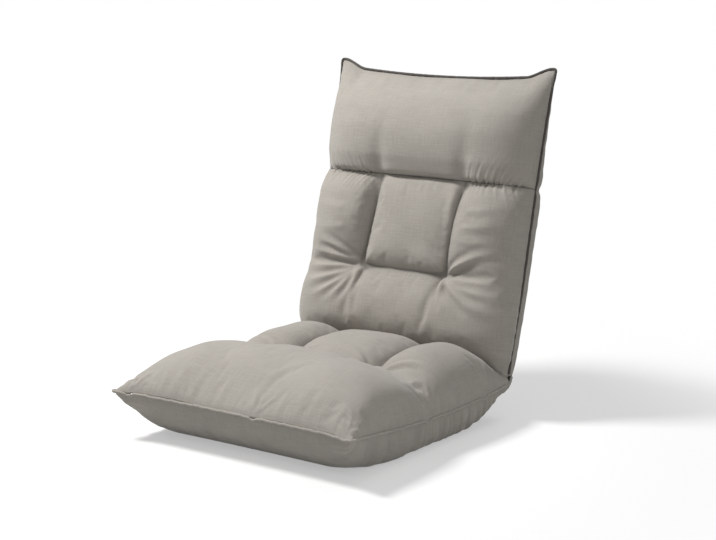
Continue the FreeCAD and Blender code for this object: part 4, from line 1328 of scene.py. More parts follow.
@dataclass
class SeatCushion:
    """The seat: a bolster at the knees, three chambers behind it, and a pillow-like lower half."""

    finishes: Finishes
    plan: Plan = Plan(half=0.260, flare=0.026, dip=0.014, open_y=0.045, ear_y=-0.560)
    flank: Flank = Flank(start=0.50, power=2.7, round=0.52)
    filling: Filling = Filling()
    base_filling: Filling = Filling(slack=0.015, bending=1.0, cap=0.006)
    columns: int = 112
    top_rows: int = 197
    base_rows: int = 171
    crown_height: float = 0.088
    top_end: float = 0.010
    base_end: float = -0.0006
    base_end_depth: float = 0.037
    seam_drop: float = 0.017
    seam_sag: float = 0.018
    tufts: float = 0.254
    tuft_depth: float = 0.012
    tuft_width: float = 0.016
    column: float = 0.103
    channel_depth: float = 0.027
    channel_width: float = 0.019
    side_bulge: float = 0.005
    floor_inset: float = 0.028
    corner_inset: float = 0.080
    floor_gap: float = 0.0012
    welt_radius: float = 0.0029
    welt_outside: float = 0.0014
    welt_points: int = 1500
    grip_half: float = 0.222
    grip_reach: float = 0.150
    grip_thickness: float = 0.0010
    pinches: tuple[tuple[float, float], ...] = (
        (-0.252, -0.560), (0.052, -0.560), (0.268, -0.552), (0.262, -0.287), (-0.262, -0.312),
        (0.260, -0.085),
    )

    def build(self) -> None:
        """Builds the seat's pieces."""
        self.top()
        self.base()
        self.welt()
        self.grip()

    def pinched(self, x: Array, y: Array, reach: float) -> Array:
        """How near a place is to one of the pinched stitches in the sewn edge, from 0 to 1."""
        near = [np.exp(-((np.hypot(x - px, y - py) / reach) ** 2)) for px, py in self.pinches]
        return np.max(near, axis=0)

    def seam(self, x: Array, y: Array) -> Array:
        """The height of the sewn edge: it sags from the hinge to the ears and dips at the pinches.

        Args:
            x: places across.
            y: places along.

        Returns:
            The heights.
        """
        part = np.clip(y / self.plan.ear_y, 0.0, 1.0)
        sag = self.seam_sag * 4 * part * (1 - part)
        return -self.seam_drop - sag - 0.005 * self.pinched(x, y, 0.009)

    def drawn_in(self, x: Array, y: Array) -> Array:
        """Moves a place at the front back to the drawn-in edge, by less the further behind it."""
        return y + self.plan.end(x) * smoothstep(-0.36, self.plan.ear_y, y)

    def middle_crown(self) -> Profile:
        """The top of the middle from the front edge over the bolster to the crease."""
        return Profile(
            (-0.560, -0.017), (-0.555, -0.006), (-0.545, 0.007), (-0.525, 0.024), (-0.495, 0.043),
            (-0.455, 0.060), (-0.383, 0.072), (-0.310, 0.070), (-0.254, 0.063), (-0.200, 0.067),
            (-0.130, 0.072), (-0.080, 0.069), (-0.050, 0.060), (-0.025, 0.044), (0.0, 0.024),
            (0.010, 0.0225),
        )

    def side_crown(self) -> Profile:
        """The top of the side chambers."""
        return Profile(
            (-0.560, -0.017), (-0.556, -0.004), (-0.547, 0.011), (-0.528, 0.031), (-0.500, 0.049),
            (-0.460, 0.063), (-0.383, 0.071), (-0.310, 0.068), (-0.254, 0.061), (-0.200, 0.069),
            (-0.130, 0.074), (-0.080, 0.070), (-0.050, 0.060), (-0.025, 0.043), (0.0, 0.024),
            (0.010, 0.0225),
        )

    def grooves(self, x: Array, y: Array) -> tuple[Array, Array]:
        """The sewn channels: one each side of the middle chamber, and a valley across the tufts.

        Args:
            x: places across.
            y: places along.

        Returns:
            Their depth in metres, and 0 to 1 how deep in a channel a place is.
        """
        off = np.abs(x) - self.column
        ahead = y + self.tufts + 0.033 * smoothstep(self.column, 0.26, np.abs(x))
        lines = groove(off, self.channel_width, 1.05) * smoothstep(-0.030, 0.012, ahead)
        valley = groove(ahead, np.where(ahead < 0, 0.055, 0.034), 1.5)
        sides = smoothstep(self.column * 0.6, self.column, np.abs(x))
        pit = np.exp(-np.hypot(off, ahead) / self.tuft_width)
        fade = smoothstep(0.262, 0.21, np.abs(x))
        across = valley * (0.014 + 0.012 * sides) * (0.35 + 0.65 * fade)
        depth = self.channel_depth * lines + across + self.tuft_depth * pit
        return depth, np.clip(np.maximum(lines, pit) + 0.25 * valley, 0.0, 1.0)

    def folds(self) -> list[Fold]:
        """Folds that the tufts and the pinched stitches pull into the top.

        The tables hold, for a fold at a tuft, how far behind the tufts it starts, its end across
        and behind the tufts, its width, height, bow and lip, and for one at a pinched stitch, its
        lean and length.

        Returns:
            The folds.
        """
        at_tufts = (
            (0.0, 0.245, -0.050, 0.0065, 0.0046, 0.006, 0.8),
            (-0.002, 0.240, 0.036, 0.006, 0.0040, -0.006, 0.8),
            (-0.004, 0.215, -0.075, 0.007, 0.0036, 0.006, 0.7),
            (-0.004, 0.130, -0.105, 0.008, 0.0030, 0.006, 0.7),
            (0.0, 0.045, -0.060, 0.007, 0.0026, 0.004, 0.7),
            (0.004, 0.030, 0.030, 0.005, 0.0026, 0.003, 0.7),
        )
        at_pinches = ((-0.7, 0.050), (0.15, 0.034), (0.9, 0.044))
        made = []
        for side in (-1.0, 1.0):
            for start, across, behind, width, height, bow, lip in at_tufts:
                first = (side * self.column, -self.tufts + start)
                last = (side * across, -self.tufts + behind)
                bend = side * bow if across > self.column else bow
                made.append(Fold(first, last, width, height, bend, lip))
        for px, py in self.pinches:
            inward = np.array([-np.sign(px), 0.0]) if py > -0.5 else np.array([0.0, 1.0])
            beside = np.array([inward[1], -inward[0]])
            for lean, length in at_pinches:
                end = np.array([px, py]) + (inward + beside * lean) * length
                made.append(Fold((px, py), (end[0], end[1]), 0.0040, 0.0012, 0.003, 0.6))
        return made

    def top_grid(self) -> tuple[Array, Array, Array]:
        """The top cover.

        Its height is the edge plus the flank's share F of what the crowns stand above the edge,
        less the channels. It bulges sideways by side_bulge * 4 F (1 - F), the folds and the edge's
        gathers stand out along its normals, and then the filling presses it out.

        Returns:
            Points in the section's frame, the relief and the channels.
        """
        crown = self.middle_crown()
        share = self.flank.stations(self.columns, self.plan.half, self.crown_height)
        along = rows_along(self.plan.ear_y, self.top_end, crown, self.top_rows)
        y, s = np.meshgrid(along, share, indexing="ij")
        x = s * self.plan.width(y)
        side = smoothstep(0.06, 0.16, np.abs(x))
        top = crown(y) * (1 - side) + self.side_crown()(y) * side
        depth, channels = self.grooves(x, y)
        edge = self.seam(x, y)
        swell = self.flank.height(s)
        lumps = lumpiness(x, y, swell, 0.0016, 0.11, 15) * (1 - channels)
        height = quilt_height(top + lumps, edge, swell, depth)
        height = kept_off_core(height, x, (y > -0.50) & (y < -0.03))
        relief = relief_of(self.folds(), x, y) * smoothstep(0.0, 0.2, swell)
        relief = relief + self.gathers(x, y, swell)
        full = np.clip((top - edge) / 0.08, 0.0, 1.0) * smoothstep(0.0, -0.05, y)
        x = bulged(x, s, swell, self.side_bulge, full)
        ends = smoothstep(-0.548, -0.557, y) + smoothstep(-0.045, -0.025, y)
        held = np.maximum(sewn_down(swell, channels), ends)
        y, height = tucked(self.drawn_in(x, y), height, -1.0)
        grid = self.filling.swollen(raised(x, y, height, relief), held)
        y, height = tucked(grid[..., 1], grid[..., 2], -1.0)
        return np.stack([grid[..., 0], y, height], axis=-1), relief, channels

    def gathers(self, x: Array, y: Array, swell: Array) -> Array:
        """Short wrinkles that run into the cover from its sewn edge, closer at the ears.

        Args:
            x: places across.
            y: places along.
            swell: 0 at the sewn edge to 1 on the crown.

        Returns:
            How far the cloth stands out.
        """
        run = np.where(np.abs(x) > self.plan.half * 0.93, y, np.abs(x) + 0.7)
        near_side = np.exp(-swell / 0.30) - math.exp(-1 / 0.30)
        near_front = np.exp(-(y - self.plan.ear_y) / 0.030) * smoothstep(-0.561, -0.548, y)
        corner = smoothstep(0.20, 0.26, np.abs(x)) * smoothstep(-0.47, -0.53, y)
        wave = puckers(run, 0.046, 5) * 0.0012 + corner * puckers(run, 0.013, 6) * 0.0014
        return wave * np.maximum(near_side * smoothstep(0.0, 0.12, swell), near_front)

    def top(self) -> None:
        """Builds the top cover."""
        grid, relief, channels = self.top_grid()
        shade = fold_shade(relief, channels)
        piece = cover("seat_top_cover", SEAT_FRAME, grid, shade, (0.0, -0.27, -0.022))
        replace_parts(piece, "seat_bolster", "seat_rear_quilt")
        dress(piece, self.finishes, Slot.CLOTH)
        bend_at_crease(piece)

    def floor_depth(self, y: Array) -> Array:
        """The height of the grip cloth's upper side below the frame plane, at y."""
        slope = math.radians(-SEAT_FRAME.turn_deg)
        return -(SEAT_HINGE[2] - self.floor_gap - y * math.sin(slope)) / math.cos(slope)

    def underside(self) -> Profile:
        """The lowest line of the lower half: down from the front edge, flat, and up to the hinge.

        Returns:
            The profile.
        """
        drop = (
            (-0.554, 0.25), (-0.535, 0.60), (-0.492, 0.92), (-0.440, 1.0), (-0.285, 1.0),
            (-0.130, 1.0),
        )
        rise = ((-0.0845, 0.84), (-0.039, 0.42))
        seam, hinge, floor = -self.seam_drop, -self.base_end_depth, self.floor_depth(0.0)
        down = [(y, seam + (self.floor_depth(y) - seam) * share) for y, share in drop]
        up = [(y, hinge + (floor - hinge) * share) for y, share in rise]
        return Profile((-0.560, -0.0185), *down, *up, (self.base_end, hinge))

    def base_grid(self) -> tuple[Array, Array]:
        """The lower half: a quarter of an ellipse at each side, flat where it stands.

        The ellipse is wider towards the front corners, and its side bulges by side_bulge * sin 2a,
        where a turns from 0 at the sewn edge to a quarter turn at the floor.

        Returns:
            Points in the section's frame, and the relief.
        """
        lap = lap_round(33, 24)
        low = self.underside()
        along = rows_along(self.plan.ear_y, self.base_end, low, self.base_rows)
        y, i = np.meshgrid(along, lap.inset, indexing="ij")
        foot = self.floor_inset + self.corner_inset * smoothstep(-0.36, -0.54, y)
        bulge = self.side_bulge * lap.bulge * smoothstep(0.0, -0.06, y)
        bulge = bulge * smoothstep(-0.555, -0.50, y)
        x = lap.sign * (self.plan.width(y) - foot * i + bulge) * (1 - lap.flat)
        edge = self.seam(x, y)
        height = edge - (edge - low(y)) * lap.depth
        relief = self.pleats(x, y, lap.depth)
        near_floor = smoothstep(0.90, 0.99, lap.depth) * smoothstep(-0.545, -0.49, y)
        near_floor = near_floor * smoothstep(-0.06, -0.11, y)
        near_ends = np.maximum(smoothstep(-0.05, -0.03, y), smoothstep(-0.550, -0.557, y))
        held = np.maximum(np.maximum(smoothstep(0.20, 0.05, lap.depth), near_floor), near_ends)
        grid = raised(x, self.drawn_in(x, y), height, relief)
        grid = self.base_filling.swollen(grid, held)
        grid[..., 2] = np.maximum(grid[..., 2], self.floor_depth(grid[..., 1]))
        return grid, relief

    def pleats(self, x: Array, y: Array, depth: Array) -> Array:
        """Upright pleats down the lower half, close together towards the hinge, and creases below
        the pinched stitches.

        Args:
            x: places across.
            y: places along.
            depth: 0 at the sewn edge to 1 at the floor.

        Returns:
            How far the cloth stands out.
        """
        upright = np.sin(np.pi * np.clip(depth, 0.0, 1.0)) ** 0.7
        rear = smoothstep(-0.27, -0.20, y) * smoothstep(-0.025, -0.06, y)
        front = smoothstep(-0.50, -0.56, y)
        along = np.where(np.abs(x) > 0.20, y, x + 0.9)
        wide = puckers(along, 0.060, 12)
        close = puckers(y, 0.021, 8)
        flat = smoothstep(1.0, 0.97, depth)
        creased = self.pinched(x, y, 0.035) * puckers(along, 0.012, 9)
        return flat * upright * (
            0.0018 * wide + 0.0036 * close * rear + 0.0012 * wide * front + 0.0022 * creased
        )

    def base(self) -> None:
        """Builds the lower half."""
        grid, relief = self.base_grid()
        shade = fold_shade(relief, np.zeros(relief.shape))
        piece = cover("seat_base_cover", SEAT_FRAME, grid, shade, (0.0, -0.27, -0.040))
        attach(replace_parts(piece, "seat_base_pad"), "seat")
        dress(piece, self.finishes, Slot.CLOTH)

    def seam_path(self) -> Array:
        """Points along the corded edge, from the right of the hinge round both ears to the left.

        Returns:
            The points, a little outside the covers, drawn in at the front and at the pinches.
        """
        side_y = np.linspace(-0.004, self.plan.ear_y, 400)
        right = np.stack([self.plan.width(side_y), side_y], axis=-1)
        tip = self.plan.half + self.plan.flare
        front_x = np.linspace(tip, -tip, 401)[1:-1]
        front = np.stack([front_x, np.full(len(front_x), self.plan.ear_y)], axis=-1)
        x, y = np.concatenate([right, front, right[::-1] * np.array([-1.0, 1.0])]).T
        line = smoothed(np.stack([x, self.drawn_in(x, y)], axis=-1), 6)
        along = np.gradient(line, axis=0)
        out = np.stack([-along[:, 1], along[:, 0]], axis=-1)
        out /= np.linalg.norm(out, axis=1, keepdims=True)
        line = line + out * (self.welt_outside - 0.002 * self.pinched(x, y, 0.008))[:, None]
        return np.concatenate([line, self.seam(x, y)[:, None]], axis=1)

    def welt(self) -> None:
        """Builds the corded edge in the cushion's own cloth, puckered by its sewing."""
        path = evenly(self.seam_path(), self.welt_points)
        along = np.linspace(0.0, 1.66, len(path))
        path[:, 2] += 0.0007 * puckers(along, 0.031, 3)
        radius = self.welt_radius * (1.0 + 0.12 * puckers(along, 0.012, 4))
        piece = cord_surface(path, radius, SEAT_FRAME).mesh("seat_edge_cord")
        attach(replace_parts(piece, "seat_edge_welt"), "seat")
        dress(piece, self.finishes, Slot.CLOTH)

    def grip(self) -> None:
        """Builds the grip cloth under the seat.

        Its outline is |x / a|^5 + |y / b|^5 = 1: a square grid whose rings are scaled onto it.
        """
        low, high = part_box("seat_grip_cloth")
        a, b = self.grip_half, self.grip_reach
        u, v = np.meshgrid(np.linspace(-1, 1, 41), np.linspace(-1, 1, 41), indexing="xy")
        ring = np.maximum(np.abs(u), np.abs(v))
        turn = np.arctan2(v * b, u * a)
        reach = (np.abs(np.cos(turn) / a) ** 5 + np.abs(np.sin(turn) / b) ** 5) ** -0.2
        x, y = ring * reach * np.cos(turn), ring * reach * np.sin(turn)
        y = y + (low[1] + high[1]) / 2
        hem = 0.0002 * smoothstep(0.93, 0.97, ring) * smoothstep(1.0, 0.98, ring)
        grid = np.stack([x, y, self.grip_thickness - hem], axis=-1)
        surface = shell_surface(grid, grid[..., :2], self.grip_thickness)
        surface.points[:, 2] = np.clip(surface.points[:, 2], 0.0, None)
        piece = surface.mesh("seat_grip_patch")
        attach(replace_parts(piece, "seat_grip_cloth"), "seat")
        dress(piece, self.finishes, Slot.GRIP)


def bend_at_crease(piece: bpy.types.Object) -> None:
    """Bakes a cover's placement into its points.

    Args:
        piece: the cover.
    """
    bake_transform(piece)


@dataclass
class BackCushion:
    """The back: a lumbar chamber, a sewn square between two side columns, and the head pillow."""

    finishes: Finishes
    plan: Plan = Plan(half=0.257, flare=0.009, dip=0.028, open_y=0.0, ear_y=0.624)
    flank: Flank = Flank(start=0.50, power=2.7, round=0.50)
    head_flank: Flank = Flank(start=0.46, power=2.4, round=0.62)
    filling: Filling = Filling()
    head_filling: Filling = Filling(slack=0.0, bending=4.0, cap=0.006)
    rear_filling: Filling = Filling(slack=0.0, bending=2.0, cap=0.003)
    columns: int = 112
    front_rows: int = 171
    head_rows: int = 141
    rear_rows: int = 121
    head_rear_rows: int = 81
    crown_height: float = 0.080
    head_height: float = 0.082
    front_start: float = -0.010
    rear_start: float = 0.0006
    seam_drop: float = 0.017
    tufts: float = 0.186
    tuft_depth: float = 0.014
    tuft_width: float = 0.017
    head_seam: float = 0.381
    column: float = 0.103
    channel_depth: float = 0.023
    tail_depth: float = 0.007
    hollow_depth: float = 0.009
    lean: float = 0.018
    side_bulge: float = 0.005
    rear_inset: float = 0.009
    band_bulge: float = 0.004
    piping_radius: float = 0.0027
    piping_outside: float = 0.0016

    def build(self) -> None:
        """Builds the pieces of the back and of the head section."""
        self.front()
        self.head()
        self.rear()
        self.head_rear()
        self.piping()

    def middle_crown(self) -> Profile:
        """The top of the middle from the crease to the head seam."""
        return Profile(
            (-0.010, 0.0225), (0.0, 0.024), (0.020, 0.044), (0.045, 0.058), (0.080, 0.067),
            (0.120, 0.067), (0.160, 0.063), (0.186, 0.056), (0.225, 0.052), (0.283, 0.051),
            (0.340, 0.049), (0.370, 0.043), (0.381, 0.032),
        )

    def side_crown(self) -> Profile:
        """The top of the side columns."""
        return Profile(
            (-0.010, 0.0225), (0.0, 0.024), (0.020, 0.044), (0.045, 0.058), (0.080, 0.068),
            (0.120, 0.069), (0.160, 0.064), (0.186, 0.060), (0.225, 0.065), (0.283, 0.068),
            (0.330, 0.063), (0.364, 0.049), (0.381, 0.031),
        )

    def edge(self, y: Array) -> Array:
        """Half the width of the sewn edge at y: the plan's, drawn in 5 mm towards the hinge."""
        return self.plan.width(y) - 0.005 * smoothstep(0.20, 0.01, y)

    def drawn_in(self, x: Array, y: Array) -> Array:
        """Moves a place at the top down to the drawn-in edge, by less the further below it."""
        return y - self.plan.end(x) * smoothstep(0.47, self.plan.ear_y, y)

    def grooves(self, x: Array, y: Array) -> tuple[Array, Array]:
        """The channels round the sewn square: two upright, and one across between the tufts.

        The upright ones lean: their place across is the column's plus lean at the head seam. The
        square lies flat up to them, and the chambers round it fall into them in a wider curve.

        Args:
            x: places across.
            y: places along.

        Returns:
            Their depth in metres, and 0 to 1 how deep in a channel a place is.
        """
        shift = self.lean * np.clip((y - self.tufts) / (self.head_seam - self.tufts), 0.0, 1.0)
        off = np.abs(x - shift) - self.column
        above = y - self.tufts
        lines = groove(off, np.where(off < 0, 0.010, 0.021), 1.1) * smoothstep(-0.020, 0.006, above)
        tails = groove(off, 0.018, 1.5) * smoothstep(-0.13, 0.0, above)
        tails = tails * smoothstep(0.01, -0.01, above)
        across = groove(above, np.where(above > 0, 0.010, 0.026), 1.1)
        across = across * smoothstep(0.006, -0.006, off)
        hollow = groove(above, 0.040, 1.7) * smoothstep(0.0, 0.02, off)
        hollow = hollow * smoothstep(0.25, 0.16, np.abs(x))
        pit = np.exp(-np.hypot(off, above) / self.tuft_width)
        sewn = np.maximum(lines, across)
        depth = self.channel_depth * sewn + self.tail_depth * tails + self.hollow_depth * hollow
        return depth + self.tuft_depth * pit, np.clip(sewn + 0.6 * pit, 0.0, 1.0)

    def folds(self) -> list[Fold]:
        """Folds that run out from the tufts, and flat ones across the side columns.

        The first table holds each fold's end, width, height and bow, and the second one its start,
        end, width, height and bow.

        Returns:
            The folds.
        """
        at_tufts = (
            (-0.219, 0.232, 0.0065, 0.0040, 0.008), (-0.238, 0.205, 0.0060, 0.0050, 0.006),
            (-0.246, 0.170, 0.0065, 0.0055, -0.004), (-0.244, 0.132, 0.0070, 0.0050, -0.008),
            (-0.222, 0.094, 0.0070, 0.0046, -0.008), (-0.170, 0.092, 0.0065, 0.0040, -0.006),
            (-0.126, 0.082, 0.0060, 0.0034, -0.003), (-0.094, 0.042, 0.0075, 0.0030, 0.003),
            (0.195, 0.224, 0.0065, 0.0036, -0.006), (0.242, 0.248, 0.0070, 0.0034, -0.008),
            (0.228, 0.180, 0.0065, 0.0048, 0.005), (0.246, 0.150, 0.0070, 0.0044, 0.008),
            (0.190, 0.138, 0.0060, 0.0040, 0.006), (0.245, 0.108, 0.0080, 0.0036, 0.010),
            (0.122, 0.120, 0.0060, 0.0034, 0.004), (0.088, 0.045, 0.0075, 0.0030, -0.003),
        )
        on_columns = (
            ((0.136, 0.285), (0.240, 0.300), 0.008, 0.0016, 0.004),
            ((0.140, 0.318), (0.238, 0.338), 0.008, 0.0016, 0.004),
            ((0.135, 0.258), (0.232, 0.262), 0.008, 0.0014, 0.004),
            ((-0.135, 0.300), (-0.236, 0.312), 0.009, 0.0014, -0.004),
            ((-0.132, 0.262), (-0.236, 0.258), 0.009, 0.0014, -0.004),
        )
        start_y = self.tufts - 0.002
        made = [
            Fold((math.copysign(self.column, x), start_y), (x, y), width, height, bow, 0.8)
            for x, y, width, height, bow in at_tufts
        ]
        return made + [Fold(*numbers, 0.5) for numbers in on_columns]

    def gathered(self, x: Array) -> Array:
        """Where the head seam is gathered: beside both channels, and less towards the sides.

        Args:
            x: places across.

        Returns:
            0 to 1 at each place.
        """
        left = smoothstep(-0.092, -0.112, x) * smoothstep(-0.250, -0.215, x)
        right = smoothstep(0.122, 0.142, x) * smoothstep(0.256, 0.225, x)
        return left + right

    def front_grid(self) -> tuple[Array, Array, Array]:
        """The front cover below the head seam, worked out as the seat's top is.

        Returns:
            Points in the section's frame, the relief and the channels.
        """
        crown = self.middle_crown()
        share = self.flank.stations(self.columns, self.plan.half, self.crown_height)
        along = rows_along(self.front_start, self.head_seam, crown, self.front_rows)
        y, s = np.meshgrid(along, share, indexing="ij")
        x = s * self.edge(y)
        side = smoothstep(0.088, 0.118, np.abs(x))
        top = crown(y) * (1 - side) + self.side_crown()(y) * side
        depth, channels = self.grooves(x, y)
        edge = np.full(y.shape, -self.seam_drop)
        swell = self.flank.height(s)
        lumps = lumpiness(x, y, swell, 0.0016, 0.10, 25) * (1 - channels)
        height = quilt_height(top + lumps, edge, swell, depth)
        height = kept_off_core(height, x, y > 0.03)
        up = self.head_seam - y
        relief = relief_of(self.folds(), x, y) * smoothstep(0.0, 0.2, swell)
        relief = relief + 0.0012 * puckers(y, 0.036, 21) * near_edge(swell)
        fade = np.exp(-up / 0.016) * (1 - np.exp(-up / 0.0015))
        wave = puckers(x - 0.4 * up * np.sign(x), 0.0125, 33)
        relief = relief + 0.0038 * wave * self.gathered(x) * fade
        full = smoothstep(0.0, 0.04, y) * (1.0 + 3.2 * np.exp(-(((y - 0.08) / 0.080) ** 2)))
        pinch = 1.0 - 1.2 * np.exp(-(((y - self.head_seam) / 0.030) ** 2))
        x = bulged(x, s, swell, self.side_bulge, full, pinch)
        y, height = tucked(y, height, 1.0)
        grid = raised(x, y, height, relief)
        ends = smoothstep(0.045, 0.025, y) + smoothstep(0.366, 0.376, y)
        grid = self.filling.swollen(grid, np.maximum(sewn_down(swell, channels), ends))
        # Painted shade along the head seam: its crevice is darkened through the channel mask
        channels = np.maximum(channels, np.exp(-up / 0.0035))
        y, height = tucked(grid[..., 1], grid[..., 2], 1.0)
        return np.stack([grid[..., 0], y, height], axis=-1), relief, channels

    def front(self) -> None:
        """Builds the front cover below the head seam."""
        grid, relief, channels = self.front_grid()
        shade = fold_shade(relief, channels)
        piece = cover("back_front_cover", BACK_FRAME, grid, shade, (0.0, 0.20, -0.012))
        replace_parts(piece, "back_lumbar_quilt", "back_upper_quilt")
        dress(piece, self.finishes, Slot.CLOTH)
        bend_at_crease(piece)

    def head_crown(self, lift: float) -> Profile:
        """The top of the head pillow from its seam to its top edge.

        Args:
            lift: how far the fullest part stands above that of the sides.

        Returns:
            The profile.
        """
        s = self.head_seam
        return Profile(
            (s, 0.029), (s + 0.005, 0.041), (s + 0.016, 0.053), (s + 0.042, 0.063 + lift * 0.5),
            (s + 0.092, 0.066 + lift), (s + 0.140, 0.056 + lift), (s + 0.180, 0.036 + lift * 0.6),
            (s + 0.210, 0.014), (s + 0.230, -0.004), (s + 0.243, -0.017),
        )

    def head_relief(self, x: Array, y: Array, swell: Array) -> Array:
        """Wrinkles of the head pillow: gathers above its seam, and waves at its top and sides.

        Args:
            x: places across.
            y: places along.
            swell: 0 at the sewn edge to 1 on the crown.

        Returns:
            How far the cloth stands out.
        """
        up = y - self.head_seam
        reach = np.maximum(0.013 + 0.007 * puckers(x, 0.031, 44), 0.005)
        fade = np.exp(-up / reach) * (1 - np.exp(-up / 0.0015))
        wave = puckers(x + 0.5 * up * np.sign(0.014 - x), 0.0125, 41)
        relief = 0.0054 * wave * self.gathered(x) * fade
        top = 0.0010 * puckers(x + 0.3, 0.05, 42) * np.exp(-(self.plan.ear_y - y) / 0.03)
        relief = relief + top * smoothstep(0.624, 0.61, y)
        return relief + 0.0011 * puckers(y, 0.045, 43) * near_edge(swell)

    def head_grid(self) -> tuple[Array, Array]:
        """The head pillow: crowned, thin towards its top edge, and gathered at its lower seam.

        Returns:
            Points in the section's frame, and the relief.
        """
        middle, sides = self.head_crown(0.005), self.head_crown(0.0)
        share = self.head_flank.stations(self.columns, self.plan.half, self.head_height)
        along = rows_along(self.head_seam, self.plan.ear_y, middle, self.head_rows)
        y, s = np.meshgrid(along, share, indexing="ij")
        x = s * self.edge(y)
        side = smoothstep(0.05, 0.18, np.abs(x))
        top = middle(y) * (1 - side) + sides(y) * side
        edge = -self.seam_drop
        swell = self.head_flank.height(s)
        lumps = lumpiness(x, y, swell, 0.0018, 0.13, 45)
        height = edge + (top + lumps - edge) * swell
        up = y - self.head_seam
        height = kept_off_core(height, x, up < 0.15)
        off = np.abs(x - 0.016 - up * 0.1) - 0.104
        hollow = np.exp(-((off / 0.018) ** 2)) * np.exp(-up / 0.055)
        height = height - 0.013 * hollow * (1 - np.exp(-up / 0.006)) * swell
        relief = self.head_relief(x, y, swell)
        full = np.clip((top - edge) / 0.08, 0.0, 1.0)
        pinch = 1.0 - 1.6 * np.exp(-((up / 0.032) ** 2))
        x = bulged(x, s, swell, self.side_bulge, full, pinch)
        held = np.maximum(smoothstep(0.22, 0.06, swell), smoothstep(0.020, 0.006, up))
        held = np.maximum(held, smoothstep(0.575, 0.612, y))
        y = self.drawn_in(x, y)
        y = y - 0.006 * np.exp(-(((up - 0.012) / 0.010) ** 2)) * (1 - np.exp(-up / 0.004)) * swell
        return self.head_filling.swollen(raised(x, y, height, relief), held), relief

    def head(self) -> None:
        """Builds the head pillow."""
        grid, relief = self.head_grid()
        # Painted shade along the head seam: the rows just above it are darkened as if they were a
        # channel
        up = np.linspace(0.0, 1.0, len(relief))[:, None] * (self.plan.ear_y - self.head_seam)
        shade = fold_shade(relief, np.exp(-up / 0.004) * np.ones(relief.shape))
        piece = cover("head_front_cover", BACK_FRAME, grid, shade, (0.0, 0.48, -0.012))
        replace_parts(piece, "head_quilt")
        dress(piece, self.finishes, Slot.CLOTH)
        self.bend_at_head(piece)

    def bend_at_head(self, piece: bpy.types.Object) -> None:
        """Bakes a head piece's placement into its points.

        Args:
            piece: the piece.
        """
        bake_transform(piece)

    def rear_depth(self) -> Profile:
        """How far the rear side lies behind the frame plane, from the hinge to the top edge."""
        return Profile(
            (0.0, -0.037), (0.026, -0.0455), (0.052, -0.048), (0.186, -0.048), (0.332, -0.0448),
            (0.381, -0.040), (0.490, -0.0342), (0.575, -0.0275), (0.610, -0.0215), (0.624, -0.0180),
        )

    def rear_relief(self, x: Array, y: Array, lap: Lap, seams: Array) -> Array:
        """Wrinkles on the side bands, and gathers and lumps on the rear side.

        Args:
            x: places across.
            y: places along.
            lap: the stations round the rear side.
            seams: distance from the nearest seam across.

        Returns:
            How far the cloth stands out.
        """
        band = np.sin(np.pi * np.clip(lap.depth, 0, 1)) * (lap.flat == 0)
        gathers = 0.0012 * puckers(x, 0.022, 53) * np.exp(-seams / 0.02)
        gathers = gathers * smoothstep(0.0, 0.004, seams)
        lumps = 0.0022 * unevenness(x, y, 0.12, 52) * smoothstep(0.0, 0.02, seams)
        relief = 0.0008 * puckers(y, 0.042, 51) * band
        relief = relief + (lumps + gathers) * smoothstep(0.0, 0.3, lap.flat)
        near_hinge = relief * smoothstep(0.0, 0.05, y) * (lap.flat < 0.05)
        return np.where(y < 0.12, near_hinge, relief)

    def rear_grid(self, low: float, high: float, rows: int) -> Array:
        """The rear side between two places along the back: round at both sides, flat behind.

        The side is a quarter of an ellipse and bulges by band_bulge * sin 2a, where a turns from 0
        at the corded edge to a quarter turn behind.

        Args:
            low: lower end.
            high: upper end.
            rows: number of rows.

        Returns:
            Points in the section's frame.
        """
        lap = lap_round(22, 40)
        y, i = np.meshgrid(np.linspace(low, high, rows), lap.inset, indexing="ij")
        fuller = 1.0 + 0.8 * np.exp(-(((y - 0.36) / 0.09) ** 2))
        pinch = 1.0 - 0.8 * np.exp(-(((y - self.head_seam) / 0.010) ** 2))
        band = self.band_bulge * lap.bulge * smoothstep(0.624, 0.56, y) * fuller * pinch
        x = lap.sign * (self.edge(y) - self.rear_inset * i + band) * (1 - lap.flat)
        height = -self.seam_drop + (self.rear_depth()(y) + self.seam_drop) * lap.depth
        seams = np.minimum(np.abs(y - self.head_seam), np.abs(y - self.plan.ear_y))
        relief = self.rear_relief(x, y, lap, seams)
        held = np.maximum(smoothstep(0.25, 0.08, lap.depth), smoothstep(0.016, 0.004, seams))
        held = np.maximum(held, smoothstep(0.15, 0.11, y))
        grid = raised(x, self.drawn_in(x, y), height, relief)
        return self.rear_filling.swollen(grid, held)

    def rear(self) -> None:
        """Builds the rear side of the back with its side bands."""
        grid = self.rear_grid(self.rear_start, self.head_seam, self.rear_rows)
        shade = np.zeros(grid.shape[:2])
        piece = cover("back_rear_cover", BACK_FRAME, grid, shade, (0.0, 0.20, -0.024))
        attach(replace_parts(piece, "back_rear_pad"), "back")
        dress(piece, self.finishes, Slot.CLOTH)

    def head_rear(self) -> None:
        """Builds the rear side of the head section."""
        grid = self.rear_grid(self.head_seam, self.plan.ear_y, self.head_rear_rows)
        shade = np.zeros(grid.shape[:2])
        piece = cover("head_rear_cover", BACK_FRAME, grid, shade, (0.0, 0.48, -0.022))
        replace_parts(piece, "head_rear_pad")
        dress(piece, self.finishes, Slot.CLOTH)
        self.bend_at_head(piece)

